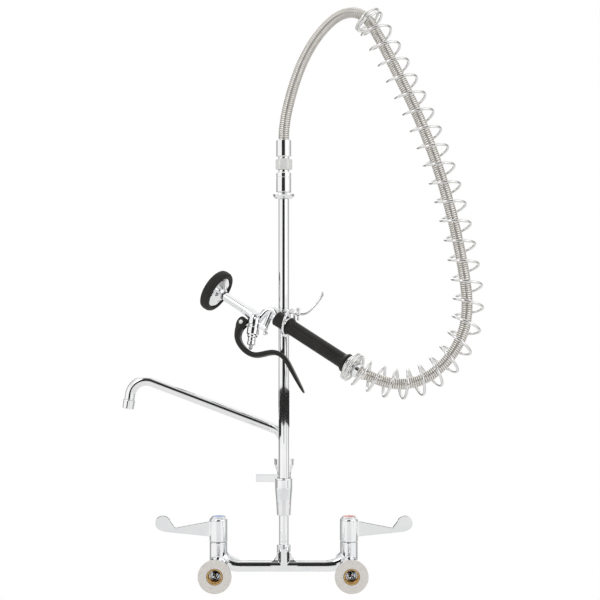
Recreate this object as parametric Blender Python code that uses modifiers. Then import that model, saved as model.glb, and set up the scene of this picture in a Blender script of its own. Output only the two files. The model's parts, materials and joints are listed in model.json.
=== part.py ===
"""Wall-mounted pre-rinse faucet: a bridge mixer with wrist levers, a swing spout, a riser,
a sprung hose and a trigger spray valve hung on its hook.

Metres, +Z up. The origin is midway between the two inlets, on the wall plane Y = 0.
The user stands on the -Y side. Cold is on +X, hot on -X.
"""

import math

import bmesh
import bpy
from mathutils import Matrix, Vector

# Driving dimensions, in metres.
GAP = 0.0003  # between touching pieces
HUB_X = 0.1015  # half of the 203 mm between the inlets
RISER_Y = -0.108  # wall to riser
SPOUT_Y = -0.153  # wall to the spout's swivel axis

BRIDGE_Z = -0.0025
BRIDGE_R = 0.0103
TOWER_R = 0.0142
TOWER_TOP = 0.0347
BARREL_R = 0.0135
BARREL_END_Y = -0.0263
BOSS_R = 0.0111
BOSS_TOP = 0.0297

WASHER_R = 0.0251
WASHER_T = 0.003
FLANGE_R = 0.0247
INLET_R = 0.0095  # bore of the female G 1/2 thread

LEVER_BASE = TOWER_TOP + GAP
LEVER_SHOULDER = 0.0677
LEVER_TOP = 0.0735
LEVER_HUB_R = 0.0145
LEVER_REACH = 0.0869  # hub axis to the middle of the round tip

STEM_R = 0.00775
TEE_BOTTOM = 0.0749
TEE_TOP = 0.1331
ARM_Z = 0.124
SOCKET_R = 0.0113
SOCKET_TOP = 0.1368

SPOUT_R = 0.00825
SPOUT_WALL = 0.0013
SPOUT_FOOT = 0.1335
SPOUT_BEND_R = 0.026
SPOUT_RISE = math.radians(20.9)  # slope of the straight run
SPOUT_KNEE_Z = 0.2004  # where the straight run meets the swivel axis
SPOUT_REACH_X = 0.2099  # end of the straight run
NOZZLE_LEAN = math.radians(8.0)

RISER_R = 0.00855
RISER_WALL = 0.0013
RISER_FOOT = 0.1185
RISER_TOP = 0.5672

HOSE_R = 0.0087
HOSE_START_Z = 0.6594
COIL_R = 0.0217  # hose axis to the middle of the spring's wire
COIL_WIRE_R = 0.0022
COIL_START = 0.262  # along the hose from the riser's ferrule
COIL_END_GAP = 0.004
COIL_END_U = 0.120  # the coil runs on over the ferrule, towards the handle
COIL_CLOSE_TURNS = 2
COIL_CLOSE_PITCH = 2.5 * COIL_WIRE_R
COIL_PHASE = math.radians(180)
COIL_LEAN = 0.0030
COIL_PITCHES = [  # share of the open length, pitch
    (0.0, 0.0282),
    (0.3, 0.0288),
    (0.5, 0.0308),
    (0.72, 0.0308),
    (0.86, 0.0236),
    (1.0, 0.0225),
]

# The hose's route as it hangs, from the riser's ferrule round to the handle.
HOSE_ROUTE = [
    (0.0, -0.1080, 0.6597),
    (-0.0004, -0.1080, 0.6740),
    (-0.0036, -0.1078, 0.6980),
    (-0.0098, -0.1070, 0.7245),
    (-0.0183, -0.1055, 0.7524),
    (-0.0298, -0.1030, 0.7815),
    (-0.0450, -0.0998, 0.8087),
    (-0.0625, -0.0960, 0.8310),
    (-0.0822, -0.0912, 0.8475),
    (-0.1016, -0.0861, 0.8537),
    (-0.1178, -0.0812, 0.8498),
    (-0.1314, -0.0768, 0.8380),
    (-0.1448, -0.0722, 0.8150),
    (-0.1574, -0.0680, 0.7905),
    (-0.1814, -0.0610, 0.7405),
    (-0.2041, -0.0550, 0.6910),
    (-0.2243, -0.0500, 0.6394),
    (-0.2409, -0.0460, 0.5881),
    (-0.2550, -0.0425, 0.5359),
    (-0.2662, -0.0392, 0.4840),
    (-0.2739, -0.0365, 0.4377),
    (-0.2764, -0.0346, 0.4060),
    (-0.2742, -0.0332, 0.3780),
    (-0.2677, -0.0320, 0.3555),
    (-0.2578, -0.0310, 0.3360),
    (-0.2463, -0.0302, 0.3203),
    (-0.2316, -0.0294, 0.3057),
    (-0.2152, -0.0288, 0.2945),
    (-0.1974, -0.0286, 0.2872),
    (-0.1763, -0.0288, 0.2842),
    (-0.1552, -0.0298, 0.2868),
    (-0.1385, -0.0313, 0.2922),
    (-0.1230, -0.0334, 0.2990),
]

# The spray valve's own frame: +u runs along the handle to the hose, +v to the trigger's side.
GUN_ORIGIN = Vector((-0.0012, -0.082, 0.3748))
GUN_SLOPE = math.radians(32.54)  # seen square to the wall
GUN_SWING = math.radians(20.0)  # hose end towards the wall
HEAD_V = 0.0155  # the head tube lies this far from the handle's axis
GRIP_R = 0.0116
GRIP_START = 0.0062
GRIP_END = 0.1200
BONNET_FOOT = (-0.0409, 0.0275)
BONNET_DIR = (0.430, 0.903)
BONNET_LENGTH = 0.0325
PIVOT = (-0.0586, 0.0348)
SPRING_SHOULDER = 0.0197  # on the plunger, which its return spring pushes outwards
STEM_PROUD = 0.0072  # the plunger's tip stands this far out of the bonnet, just off the trigger

# The trigger from its yoke to its tail: (u, v, half thickness, half width).
TRIGGER_STATIONS = [
    (-0.0586, 0.0262, 0.0040, 0.0060),
    (-0.0586, 0.0285, 0.0068, 0.0078),
    (-0.0586, 0.0335, 0.0082, 0.0083),
    (-0.0586, 0.0385, 0.0080, 0.0083),
    (-0.0578, 0.0440, 0.0062, 0.0083),
    (-0.0560, 0.0505, 0.0050, 0.0083),
    (-0.0525, 0.0570, 0.0044, 0.0083),
    (-0.0466, 0.0624, 0.0042, 0.0082),
    (-0.0390, 0.0660, 0.0042, 0.0081),
    (-0.0290, 0.0684, 0.0042, 0.0080),
    (-0.0190, 0.0682, 0.0042, 0.0078),
    (-0.0105, 0.0650, 0.0041, 0.0076),
    (-0.0030, 0.0590, 0.0040, 0.0075),
    (0.0040, 0.0522, 0.0039, 0.0074),
    (0.0115, 0.0467, 0.0038, 0.0073),
    (0.0200, 0.0442, 0.0037, 0.0072),
    (0.0290, 0.0446, 0.0036, 0.0071),
    (0.0385, 0.0478, 0.0034, 0.0070),
    (0.0530, 0.0552, 0.0030, 0.0070),
    (0.0690, 0.0635, 0.0024, 0.0066),
    (0.0810, 0.0697, 0.0018, 0.0052),
    (0.0868, 0.0727, 0.0012, 0.0030),
]

# The hook on the riser and the ring that hangs the spray valve from it.
HOOK_Z = 0.3885
RING_CENTRE = Vector((-0.0075, -0.0805, 0.3757))
RING_NORMAL = Vector((-0.905, 0.342, -0.250)).normalized()
RING_R = 0.0213
RING_WIRE_R = 0.0020
FINGER_ROUTE = [
    (-0.0010, -0.0957, 0.3925),
    (-0.0030, -0.0900, 0.3924),
    (-0.0075, -0.0830, 0.3918),
    (-0.0150, -0.0775, 0.3908),
    (-0.0235, -0.0752, 0.3893),
    (-0.0305, -0.0745, 0.3889),
    (-0.0375, -0.0742, 0.3918),
    (-0.0440, -0.0741, 0.3975),
    (-0.0500, -0.0740, 0.4040),
    (-0.0560, -0.0740, 0.4120),
    (-0.0595, -0.0740, 0.4190),
    (-0.0590, -0.0740, 0.4240),
]
HOOK_SCREW_AT = (-0.0222, -0.0755, 0.3896)

PI = math.pi
COLD, HOT = 1, -1


def fresh_collection(name):
    found = bpy.data.collections.new(name)
    bpy.context.scene.collection.children.link(found)
    return found


for leftover in list(bpy.data.objects):
    bpy.data.objects.remove(leftover)
PARTS = fresh_collection("pre_rinse_faucet")
CUTTERS = fresh_collection("cutters")


def make_material(name, colour, roughness, metallic):
    made = bpy.data.materials.new(name)
    made.use_nodes = True
    shader = made.node_tree.nodes["Principled BSDF"]
    shader.inputs["Base Color"].default_value = (*colour, 1)
    shader.inputs["Roughness"].default_value = roughness
    shader.inputs["Metallic"].default_value = metallic
    return made


CHROME = make_material("chrome", (0.78, 0.79, 0.80), 0.06, 1)
BRASS = make_material("brass", (0.72, 0.50, 0.22), 0.28, 1)
STEEL = make_material("stainless_steel", (0.62, 0.59, 0.55), 0.3, 1)
SPRING_WIRE = make_material("bright_wire", (0.72, 0.72, 0.71), 0.15, 1)
BLACK = make_material("black_moulding", (0.035, 0.034, 0.032), 0.45, 0)
RUBBER = make_material("black_rubber", (0.03, 0.03, 0.03), 0.7, 0)
WASHER_GREY = make_material("grey_washer", (0.50, 0.47, 0.43), 0.75, 0)
COLD_BLUE = make_material("cold_blue", (0.25, 0.36, 0.62), 0.35, 0)
HOT_RED = make_material("hot_red", (0.72, 0.33, 0.31), 0.35, 0)
SEAL = make_material("seal", (0.05, 0.05, 0.05), 0.6, 0)


# ---------------------------------------------------------------- helpers


def placed(axis=(0, 0, 1), at=(0, 0, 0), up=None):
    """A matrix whose local +Z runs along axis, and whose local +X is as near up as it can be."""
    z = Vector(axis).normalized()
    x = Vector(up) if up else Vector((1, 0, 0))
    if abs(x.normalized().dot(z)) > 0.99:
        x = Vector((0, 1, 0))
    x = (x - x.dot(z) * z).normalized()
    y = z.cross(x)
    turn = Matrix((x, y, z)).transposed().to_4x4()
    return Matrix.Translation(at) @ turn


def gun_matrix():
    """The spray valve's frame, with its columns along the handle, to the trigger and across."""
    u = Vector(
        (
            -math.cos(GUN_SLOPE) * math.cos(GUN_SWING),
            math.sin(GUN_SWING),
            -math.sin(GUN_SLOPE) * math.cos(GUN_SWING),
        )
    )
    v = Vector((math.sin(GUN_SLOPE), 0, -math.cos(GUN_SLOPE)))
    w = u.cross(v)
    return Matrix.Translation(GUN_ORIGIN) @ Matrix((u, v, w)).transposed().to_4x4()


GUN = gun_matrix()
BONNET_AXIS = Vector((*BONNET_DIR, 0)).normalized()


def add(name, mesh, material, matrix=None, collection=None):
    obj = bpy.data.objects.new(name, mesh)
    obj.matrix_world = matrix or Matrix()
    if material:
        mesh.materials.clear()
        mesh.materials.append(material)
    (collection or PARTS).objects.link(obj)
    return obj


def finished(mesh, angle=35):
    """Welds the mesh, turns its faces outwards and shades it smooth between sharp edges."""
    work = bmesh.new()
    work.from_mesh(mesh)
    bmesh.ops.remove_doubles(work, verts=work.verts, dist=1e-6)
    bmesh.ops.recalc_face_normals(work, faces=work.faces)
    work.to_mesh(mesh)
    work.free()
    mesh.shade_smooth()
    mesh.set_sharp_from_angle(angle=math.radians(angle))
    return mesh


def baked(obj):
    """The object again, with its modifiers or its curve turned into a plain mesh."""
    name, matrix = obj.name, obj.matrix_world.copy()
    graph = bpy.context.evaluated_depsgraph_get()
    graph.update()
    mesh = bpy.data.meshes.new_from_object(obj.evaluated_get(graph))
    material = obj.data.materials[0] if obj.data.materials else None
    home = obj.users_collection[0]
    old = obj.data
    bpy.data.objects.remove(obj)
    (bpy.data.curves if isinstance(old, bpy.types.Curve) else bpy.data.meshes).remove(old)
    return add(name, finished(mesh), material, matrix, home)


def turned(name, profile, material, matrix=None, segments=18, ring=False, collection=None):
    """A profile of (radius, height) turned about local Z. It runs down its outer side."""
    mesh = bpy.data.meshes.new(name)
    count = len(profile)
    edges = [(i, i + 1) for i in range(count - 1)]
    if ring:
        edges.append((count - 1, 0))
    mesh.from_pydata([(r, 0, z) for r, z in profile], edges, [])
    obj = add(name, mesh, material, matrix, collection)
    screw = obj.modifiers.new("turn", "SCREW")
    screw.axis = "Z"
    screw.steps = screw.render_steps = segments
    screw.use_merge_vertices = True
    screw.merge_threshold = 1e-5
    return baked(obj)


def cylinder(name, radius, bottom, top, material=None, matrix=None, segments=20, collection=None):
    profile = [(0, top), (radius, top), (radius, bottom), (0, bottom)]
    return turned(name, profile, material, matrix, segments, collection=collection)


def tube_ring(name, outer, inner, bottom, top, material, matrix=None, segments=20, chamfer=0.0):
    c = chamfer
    profile = [
        (inner, top),
        (outer - c, top),
        (outer, top - c),
        (outer, bottom + c),
        (outer - c, bottom),
        (inner, bottom),
    ]
    if not c:
        profile = [(inner, top), (outer, top), (outer, bottom), (inner, bottom)]
    return turned(name, profile, material, matrix, segments, ring=True)


def arc(centre, radius, start, end, steps):
    """Points of a round stretch of a profile, from angle start to end in degrees."""
    found = []
    for i in range(steps + 1):
        a = math.radians(start + (end - start) * i / steps)
        found.append((centre[0] + radius * math.cos(a), centre[1] + radius * math.sin(a)))
    return found


def torus(name, major, minor, material, matrix=None, around=32, sides=10):
    section = arc((major, 0), minor, 90, -270, sides)[:-1]
    return turned(name, section, material, matrix, around, ring=True)


def boolean(obj, operation, others):
    for other in others:
        if other.name not in CUTTERS.objects:
            other.users_collection[0].objects.unlink(other)
            CUTTERS.objects.link(other)
        other.hide_render = True
        other.display_type = "WIRE"
        step = obj.modifiers.new(operation.lower(), "BOOLEAN")
        step.operation = operation
        step.object = other
    return obj


def unite(obj, *others):
    return boolean(obj, "UNION", others)


def cut(obj, *others):
    return boolean(obj, "DIFFERENCE", others)


def box(name, low, high, material=None, matrix=None, collection=None):
    work = bmesh.new()
    bmesh.ops.create_cube(work, size=1)
    middle = [(a + b) / 2 for a, b in zip(low, high)]
    size = [b - a for a, b in zip(low, high)]
    bmesh.ops.scale(work, vec=size, verts=work.verts)
    bmesh.ops.translate(work, vec=middle, verts=work.verts)
    mesh = bpy.data.meshes.new(name)
    work.to_mesh(mesh)
    work.free()
    return add(name, mesh, material, matrix, collection)


def bevelled(obj, width, segments=2):
    step = obj.modifiers.new("edges", "BEVEL")
    step.width = width
    step.segments = segments
    step.limit_method = "ANGLE"
    return obj


def hexagon(name, across_flats, bottom, top, material, matrix=None):
    """A hexagonal prism with its corners turned off, as a nut has."""
    work = bmesh.new()
    radius = across_flats / math.sqrt(3)
    bmesh.ops.create_cone(
        work, cap_ends=True, segments=6, radius1=radius, radius2=radius, depth=top - bottom
    )
    bmesh.ops.translate(work, vec=(0, 0, (top + bottom) / 2), verts=work.verts)
    mesh = bpy.data.meshes.new(name)
    work.to_mesh(mesh)
    work.free()
    nut = add(name, mesh, material, matrix)
    chamfer = 0.0014
    edge = across_flats / 2 - 0.0002
    profile = [
        (0, top),
        (edge, top),
        (radius + GAP, top - chamfer),
        (radius + GAP, bottom + chamfer),
        (edge, bottom),
        (0, bottom),
    ]
    corners = turned(name + "_corners", profile, None, matrix, 32, collection=CUTTERS)
    return boolean(nut, "INTERSECT", [corners])


def curve_object(name, points, radius, material, matrix, resolution, radii=None, caps=True):
    data = bpy.data.curves.new(name, "CURVE")
    data.dimensions = "3D"
    data.bevel_depth = radius
    data.bevel_resolution = resolution
    data.use_fill_caps = caps
    spline = data.splines.new("POLY")
    spline.points.add(len(points) - 1)
    for i, point in enumerate(points):
        spline.points[i].co = (*point, 1)
        spline.points[i].radius = radii[i] if radii else 1
    data.materials.append(material)
    obj = bpy.data.objects.new(name, data)
    obj.matrix_world = matrix or Matrix()
    PARTS.objects.link(obj)
    return obj


def rod(name, points, radius, material, matrix=None, resolution=3, radii=None):
    return baked(curve_object(name, points, radius, material, matrix, resolution, radii))


def pipe(name, points, radius, wall, material, matrix=None, resolution=3):
    """A hollow tube, open at both ends."""
    obj = baked(curve_object(name, points, radius, material, matrix, resolution, caps=False))
    shell = obj.modifiers.new("wall", "SOLIDIFY")
    shell.thickness = wall
    shell.offset = -1
    return baked(obj)


def smooth_line(route, step):
    """Points evenly spaced along the smooth curve through the route's points."""
    knots = [Vector(p) for p in route]
    first = 2 * knots[0] - knots[1]
    last = 2 * knots[-1] - knots[-2]
    padded = [first, *knots, last]
    fine = []
    for a, b, c, d in zip(padded, padded[1:], padded[2:], padded[3:]):
        for i in range(12):
            t = i / 12
            fine.append(
                0.5
                * (
                    2 * b
                    + (c - a) * t
                    + (2 * a - 5 * b + 4 * c - d) * t**2
                    + (3 * b - 3 * c + d - a) * t**3
                )
            )
    fine.append(knots[-1])
    along = [0.0]
    for a, b in zip(fine, fine[1:]):
        along.append(along[-1] + (b - a).length)
    count = max(2, round(along[-1] / step))
    found, k = [], 0
    for i in range(count + 1):
        target = along[-1] * i / count
        while k < len(fine) - 2 and along[k + 1] < target:
            k += 1
        span = max(along[k + 1] - along[k], 1e-9)
        found.append(fine[k].lerp(fine[k + 1], (target - along[k]) / span))
    return found


def loft(name, rings, material, matrix=None):
    """A closed skin over rings of equal count, for a shape whose section changes."""
    count = len(rings[0])
    points = [p for ring in rings for p in ring]
    faces = [list(range(count))[::-1]]
    for i in range(len(rings) - 1):
        for j in range(count):
            k = (j + 1) % count
            faces.append(
                [i * count + j, i * count + k, (i + 1) * count + k, (i + 1) * count + j]
            )
    faces.append([(len(rings) - 1) * count + j for j in range(count)])
    mesh = bpy.data.meshes.new(name)
    mesh.from_pydata(points, [], faces)
    return add(name, finished(mesh), material, matrix)


def flat_bar(name, stations, material, matrix=None, sides=16):
    """A bar along a line in the local XY plane: stations of (x, y, half thickness, half width)."""
    rings = []
    for i, (x, y, thick, wide) in enumerate(stations):
        before = stations[max(i - 1, 0)]
        after = stations[min(i + 1, len(stations) - 1)]
        along = Vector((after[0] - before[0], after[1] - before[1], 0)).normalized()
        across = Vector((-along.y, along.x, 0))
        ring = []
        for j in range(sides):
            a = 2 * PI * (j + 0.5) / sides
            c, s = math.cos(a), math.sin(a)
            square = (abs(c) ** 4 + abs(s) ** 4) ** 0.25
            ring.append(
                Vector((x, y, 0)) + across * (thick * c / square) + Vector((0, 0, wide * s / square))
            )
        rings.append(ring)
    return loft(name, rings, material, matrix)


# ---------------------------------------------------------------- bridge and inlets


def bridge_tube_line():
    """Down from one tower, along the bridge and up to the other, with the radius at each point."""
    bend_x, bend_z = 0.037, 0.024
    points, radii = [], []
    for i in range(9):
        a = PI / 2 * i / 8
        points.append(
            Vector(
                (
                    HUB_X - bend_x * (1 - math.cos(a)),
                    RISER_Y,
                    BRIDGE_Z + bend_z * (1 - math.sin(a)),
                )
            )
        )
        radii.append((0.0138 + (BRIDGE_R - 0.0138) * i / 8) / BRIDGE_R)
    mirrored = [Vector((-p.x, p.y, p.z)) for p in reversed(points)]
    return points + mirrored, radii + radii[::-1]


def make_bridge_body():
    line, radii = bridge_tube_line()
    body = rod("bridge_body", line, BRIDGE_R, CHROME, resolution=4, radii=radii)
    for side in (COLD, HOT):
        here = Matrix.Translation((side * HUB_X, RISER_Y, 0))
        tower_side = [(0, TOWER_TOP), (0.0136, TOWER_TOP), (TOWER_R, TOWER_TOP - 0.0006)]
        round_foot = arc((0, 0), TOWER_R, 0, -90, 6)
        tower = turned("tower", [*tower_side, *round_foot], None, here, 20, collection=CUTTERS)
        to_wall = placed((0, 1, 0), (side * HUB_X, RISER_Y, 0))
        barrel = cylinder(
            "barrel", BARREL_R, 0, BARREL_END_Y - RISER_Y, None, to_wall, 20, CUTTERS
        )
        unite(body, tower, barrel)
    boss_profile = [
        (0, BOSS_TOP),
        (BOSS_R - 0.0006, BOSS_TOP),
        (BOSS_R, BOSS_TOP - 0.0006),
        (BOSS_R, 0.0),
        (0.0085, -0.0080),
        (0, -0.0080),
    ]
    on_axis = Matrix.Translation((0, RISER_Y, 0))
    boss = turned("boss", boss_profile, None, on_axis, 20, collection=CUTTERS)
    flare = []
    for i in range(7):
        a = PI / 2 * i / 6
        flare.append((0.0190 - 0.0085 * math.sin(a), 0.0185 - 0.0125 * math.cos(a)))
    outline = flare + [(-x, z) for x, z in reversed(flare)]
    outline += [(-0.0160, -0.0040), (0.0160, -0.0040)]
    web_rings = []
    for y in (-0.0072, 0.0072):
        web_rings.append([Vector((x, RISER_Y + y, z)) for x, z in outline])
    web = loft("boss_web", web_rings, None)
    unite(body, boss, web)
    for side in (COLD, HOT):
        here = Matrix.Translation((side * HUB_X, RISER_Y, 0))
        seat = cylinder("cartridge_bore", 0.0102, 0.0100, 0.0400, None, here, 18, CUTTERS)
        to_wall = placed((0, 1, 0), (side * HUB_X, RISER_Y, 0))
        way = cylinder("inlet_way", 0.0070, 0.0040, 0.0900, None, to_wall, 14, CUTTERS)
        cut(body, seat, way)
    stem_bore = cylinder("stem_bore", STEM_R + GAP, 0.0120, 0.0400, None, on_axis, 18, CUTTERS)
    screw_way = cylinder(
        "grub_way", 0.0022, 0.0060, 0.0140, None, placed((0, 1, 0), (0, RISER_Y, 0.0258)), 12, CUTTERS
    )
    cut(body, stem_bore, screw_way)
    return body


def make_inlet(side, word):
    here = placed((0, 1, 0), (side * HUB_X, 0, 0))
    tube_ring("wall_washer_" + word, WASHER_R, 0.0123, -WASHER_T, 0, WASHER_GREY, here, 24)
    face = -WASHER_T - GAP
    flange = [
        (0.0123, face),
        (FLANGE_R - 0.0008, face),
        (FLANGE_R, face - 0.0008),
        (FLANGE_R, face - 0.0040),
        (FLANGE_R - 0.0030, face - 0.0052),
        (0.0180, face - 0.0065),
        (0.0172, BARREL_END_Y + GAP + 0.0008),
        (0.0164, BARREL_END_Y + GAP),
        (0.0074, BARREL_END_Y + GAP),
        (0.0074, -0.0222),
        (0.0123, -0.0222),
    ]
    turned("wall_flange_" + word, flange, CHROME, here, 18, ring=True)
    bush = [
        (INLET_R, -0.0008),
        (0.0112, -0.0008),
        (0.0120, -0.0016),
        (0.0120, -0.0219),
        (INLET_R, -0.0219),
    ]
    turned("inlet_bush_" + word, bush, BRASS, here, ring=True)


# ---------------------------------------------------------------- wrist levers


def make_cartridge(side, word):
    here = Matrix.Translation((side * HUB_X, RISER_Y, 0))
    body = [
        (0.0044, 0.0440),
        (0.0072, 0.0440),
        (0.0078, 0.0432),
        (0.0078, 0.0352),
        (0.0099, 0.0346),
        (0.0099, 0.0103),
        (0.0044, 0.0103),
    ]
    turned("cartridge_" + word, body, BRASS, here, 18, ring=True)
    spindle = [
        (0, 0.0548),
        (0.0036, 0.0548),
        (0.0040, 0.0544),
        (0.0040, 0.0120),
        (0, 0.0120),
    ]
    turned("spindle_" + word, spindle, BRASS, here, 16)


def make_wrist_lever(side, word):
    """The hub with its flat blade and round tip: one casting, which turns about the hub's axis."""
    here = Matrix.Translation((side * HUB_X, RISER_Y, 0))
    cap_r = 0.0100
    shell = [
        (0, LEVER_TOP - 0.0026),
        (cap_r, LEVER_TOP - 0.0026),
        (cap_r, LEVER_TOP),
        (cap_r + 0.0007, LEVER_TOP),
        *arc((cap_r + 0.0005, LEVER_SHOULDER - 0.0002), 0.0040, 62, 0, 4),
        (LEVER_HUB_R, LEVER_BASE + 0.0006),
        (LEVER_HUB_R - 0.0006, LEVER_BASE),
        (0, LEVER_BASE),
    ]
    lever = turned("wrist_lever_" + word, shell, CHROME, here, 20)
    tip_r, half_t = 0.0120, 0.0026
    tip_z, notch = 0.0629, (0.0676, 0.0560)
    outline = [(0.0110, 0.0672), (notch[0], notch[1])]
    outline += arc((LEVER_REACH, tip_z), tip_r, 165, -70, 12)
    outline += [(0.0835, 0.0493), (0.0110, 0.0417)]
    rings = []
    for y in (-half_t, half_t):
        rings.append([Vector((side * x, y, z)) for x, z in outline])
    blade = bevelled(loft("blade", rings, None, here), 0.0007, 1)
    unite(lever, baked(blade))
    cavity = [
        (0, 0.0556),
        (0.0043, 0.0556),
        (0.0043, 0.0450),
        (0.0110, 0.0446),
        (0.0110, 0.0340),
        (0, 0.0340),
    ]
    bore = turned("hub_bore", cavity, None, here, 20, collection=CUTTERS)
    screw_bore = cylinder("screw_bore", 0.0023, 0.0500, 0.0660, None, here, 14, CUTTERS)
    head_bore = cylinder("head_bore", 0.0043, 0.0640, LEVER_TOP, None, here, 14, CUTTERS)
    cut(lever, bore, screw_bore, head_bore)
    screw = [
        (0, 0.0688),
        (0.0036, 0.0688),
        (0.0040, 0.0684),
        (0.0040, 0.0643),
        (0.0020, 0.0643),
        (0.0020, 0.0551),
        (0, 0.0551),
    ]
    turned("lever_screw_" + word, screw, STEEL, here, 16)
    cap = [
        (0, LEVER_TOP + 0.0010),
        (0.0060, LEVER_TOP + 0.0008),
        (0.0097, LEVER_TOP - 0.0002),
        (0.0097, LEVER_TOP - 0.0023),
        (0, LEVER_TOP - 0.0023),
    ]
    colour = COLD_BLUE if side == COLD else HOT_RED
    turned("index_cap_" + word, cap, colour, here, 24)


# ---------------------------------------------------------------- stem, tee and spout


def make_stem():
    here = Matrix.Translation((0, RISER_Y, 0))
    tube_ring("stem_tube", STEM_R, 0.0063, 0.0123, 0.0880, CHROME, here, 24)
    grub = [
        (0, 0.0108),
        (0.0009, 0.0108),
        (0.0009, 0.0128),
        (0.0018, 0.0128),
        (0.0018, 0.0082),
        (0, 0.0082),
    ]
    turned("stem_grub_screw", grub, STEEL, placed((0, 1, 0), (0, RISER_Y, 0.0258)), 12)


def make_tee():
    here = Matrix.Translation((0, RISER_Y, 0))
    outside = [
        (0, TEE_TOP),
        (0.0132, TEE_TOP),
        (0.0140, TEE_TOP - 0.0008),
        (0.0140, 0.1180),
        (0.0124, 0.1000),
        (0.0110, 0.0757),
        (0.0102, TEE_BOTTOM),
        (0, TEE_BOTTOM),
    ]
    tee = turned("tee_body", outside, CHROME, here, 20)
    forward = placed((0, -1, 0), (0, RISER_Y, ARM_Z))
    arm = cylinder("tee_arm", 0.0092, 0, RISER_Y - SPOUT_Y, None, forward, 18, CUTTERS)
    valve = cylinder("valve_chest", 0.0100, 0.0420, 0.0600, None, forward, 18, CUTTERS)
    socket = [
        (0, 0.1500),
        (0.0100, 0.1500),
        (0.0106, 0.1494),
        (0.0106, SOCKET_TOP),
        (SOCKET_R, SOCKET_TOP),
        (SOCKET_R, 0.1160),
        (0.0085, 0.1110),
        (0, 0.1095),
    ]
    at_spout = Matrix.Translation((0, SPOUT_Y, 0))
    spout_socket = turned("spout_socket", socket, None, at_spout, 20, collection=CUTTERS)
    unite(tee, arm, spout_socket, valve)
    cut(
        tee,
        cylinder("stem_socket", STEM_R + GAP, 0.0700, 0.0883, None, here, 18, CUTTERS),
        cylinder("riser_socket", 0.0097, 0.1180, 0.1400, None, here, 18, CUTTERS),
        cylinder("tee_way", 0.0050, 0.0800, 0.1300, None, here, 14, CUTTERS),
        cylinder("spout_bore", SPOUT_R + GAP, 0.1330, 0.1600, None, at_spout, 18, CUTTERS),
        cylinder("valve_bore", 0.0066, 0.0450, 0.0700, None, forward, 14, CUTTERS),
    )
    seal = [
        (RISER_R + GAP, TEE_TOP - 0.0006),
        (0.0093, TEE_TOP - 0.0006),
        (0.0094, 0.1183),
        (RISER_R + GAP, 0.1183),
    ]
    turned("riser_seal", seal, SEAL, here, 18, ring=True)


def make_spout_nut():
    here = Matrix.Translation((0, SPOUT_Y, 0))
    nut = [
        (SPOUT_R + GAP, 0.1590),
        (0.0150, 0.1590),
        (0.0160, 0.1580),
        (0.0160, 0.1490),
        (0.0150, 0.1478),
        (0.0118, 0.1384),
        (0.0116, SOCKET_TOP + GAP),
        (0.0109, SOCKET_TOP + GAP),
        (0.0109, 0.1545),
        (SPOUT_R + GAP, 0.1545),
    ]
    turned("spout_nut", nut, CHROME, here, ring=True)
    tube_ring("spout_collar", 0.0106, SPOUT_R + GAP, 0.1503, 0.1541, BRASS, here, 24)


def spout_line():
    """Up from the swivel, out along the sloping run, over and down to the nozzle."""

    def bend(start, heading, turn, steps):
        """The round stretch that starts at a point and a heading, and where it ends."""
        side = 1 if turn > 0 else -1
        centre = start + SPOUT_BEND_R * side * Vector((-math.sin(heading), math.cos(heading)))
        found = []
        for i in range(1, steps + 1):
            h = heading + turn * i / steps
            found.append(
                centre + SPOUT_BEND_R * side * Vector((math.sin(h), -math.cos(h)))
            )
        return found

    turn_out = -(PI / 2 - SPOUT_RISE)
    tangent = SPOUT_BEND_R * math.tan(-turn_out / 2)
    start = Vector((0, SPOUT_KNEE_Z - tangent))
    flat = [Vector((0, SPOUT_FOOT)), start]
    flat += bend(start, PI / 2, turn_out, 8)
    run_end = Vector(
        (SPOUT_REACH_X, SPOUT_KNEE_Z + SPOUT_REACH_X * math.tan(SPOUT_RISE))
    )
    flat.append(run_end)
    down = -PI / 2 + NOZZLE_LEAN
    flat += bend(run_end, SPOUT_RISE, down - SPOUT_RISE, 12)
    heading = Vector((math.cos(down), math.sin(down)))
    mouth = flat[-1] + 0.0074 * heading
    flat.append(mouth)
    return [Vector((p.x, 0, p.y)) for p in flat], mouth, heading


def make_spout():
    line, mouth, heading = spout_line()
    pipe("spout_tube", line, SPOUT_R, SPOUT_WALL, CHROME, Matrix.Translation((0, SPOUT_Y, 0)))
    down = Vector((heading.x, 0, heading.y))
    here = placed(down, Vector((mouth.x, SPOUT_Y, mouth.y)))
    shell = [
        (0.0080, 0.0150),
        (0.0088, 0.0150),
        (0.0093, 0.0144),
        (0.0096, 0.0016),
        (0.0090, GAP),
        (0.0060, GAP),
        (0.0060, 0.0050),
        (0.0080, 0.0060),
    ]
    turned("spout_nozzle", shell, CHROME, here, ring=True)
    strainer = [(0, 0.0135), (0.0077, 0.0135), (0.0077, 0.0072), (0, 0.0072)]
    turned("nozzle_strainer", strainer, STEEL, here, 20)


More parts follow.
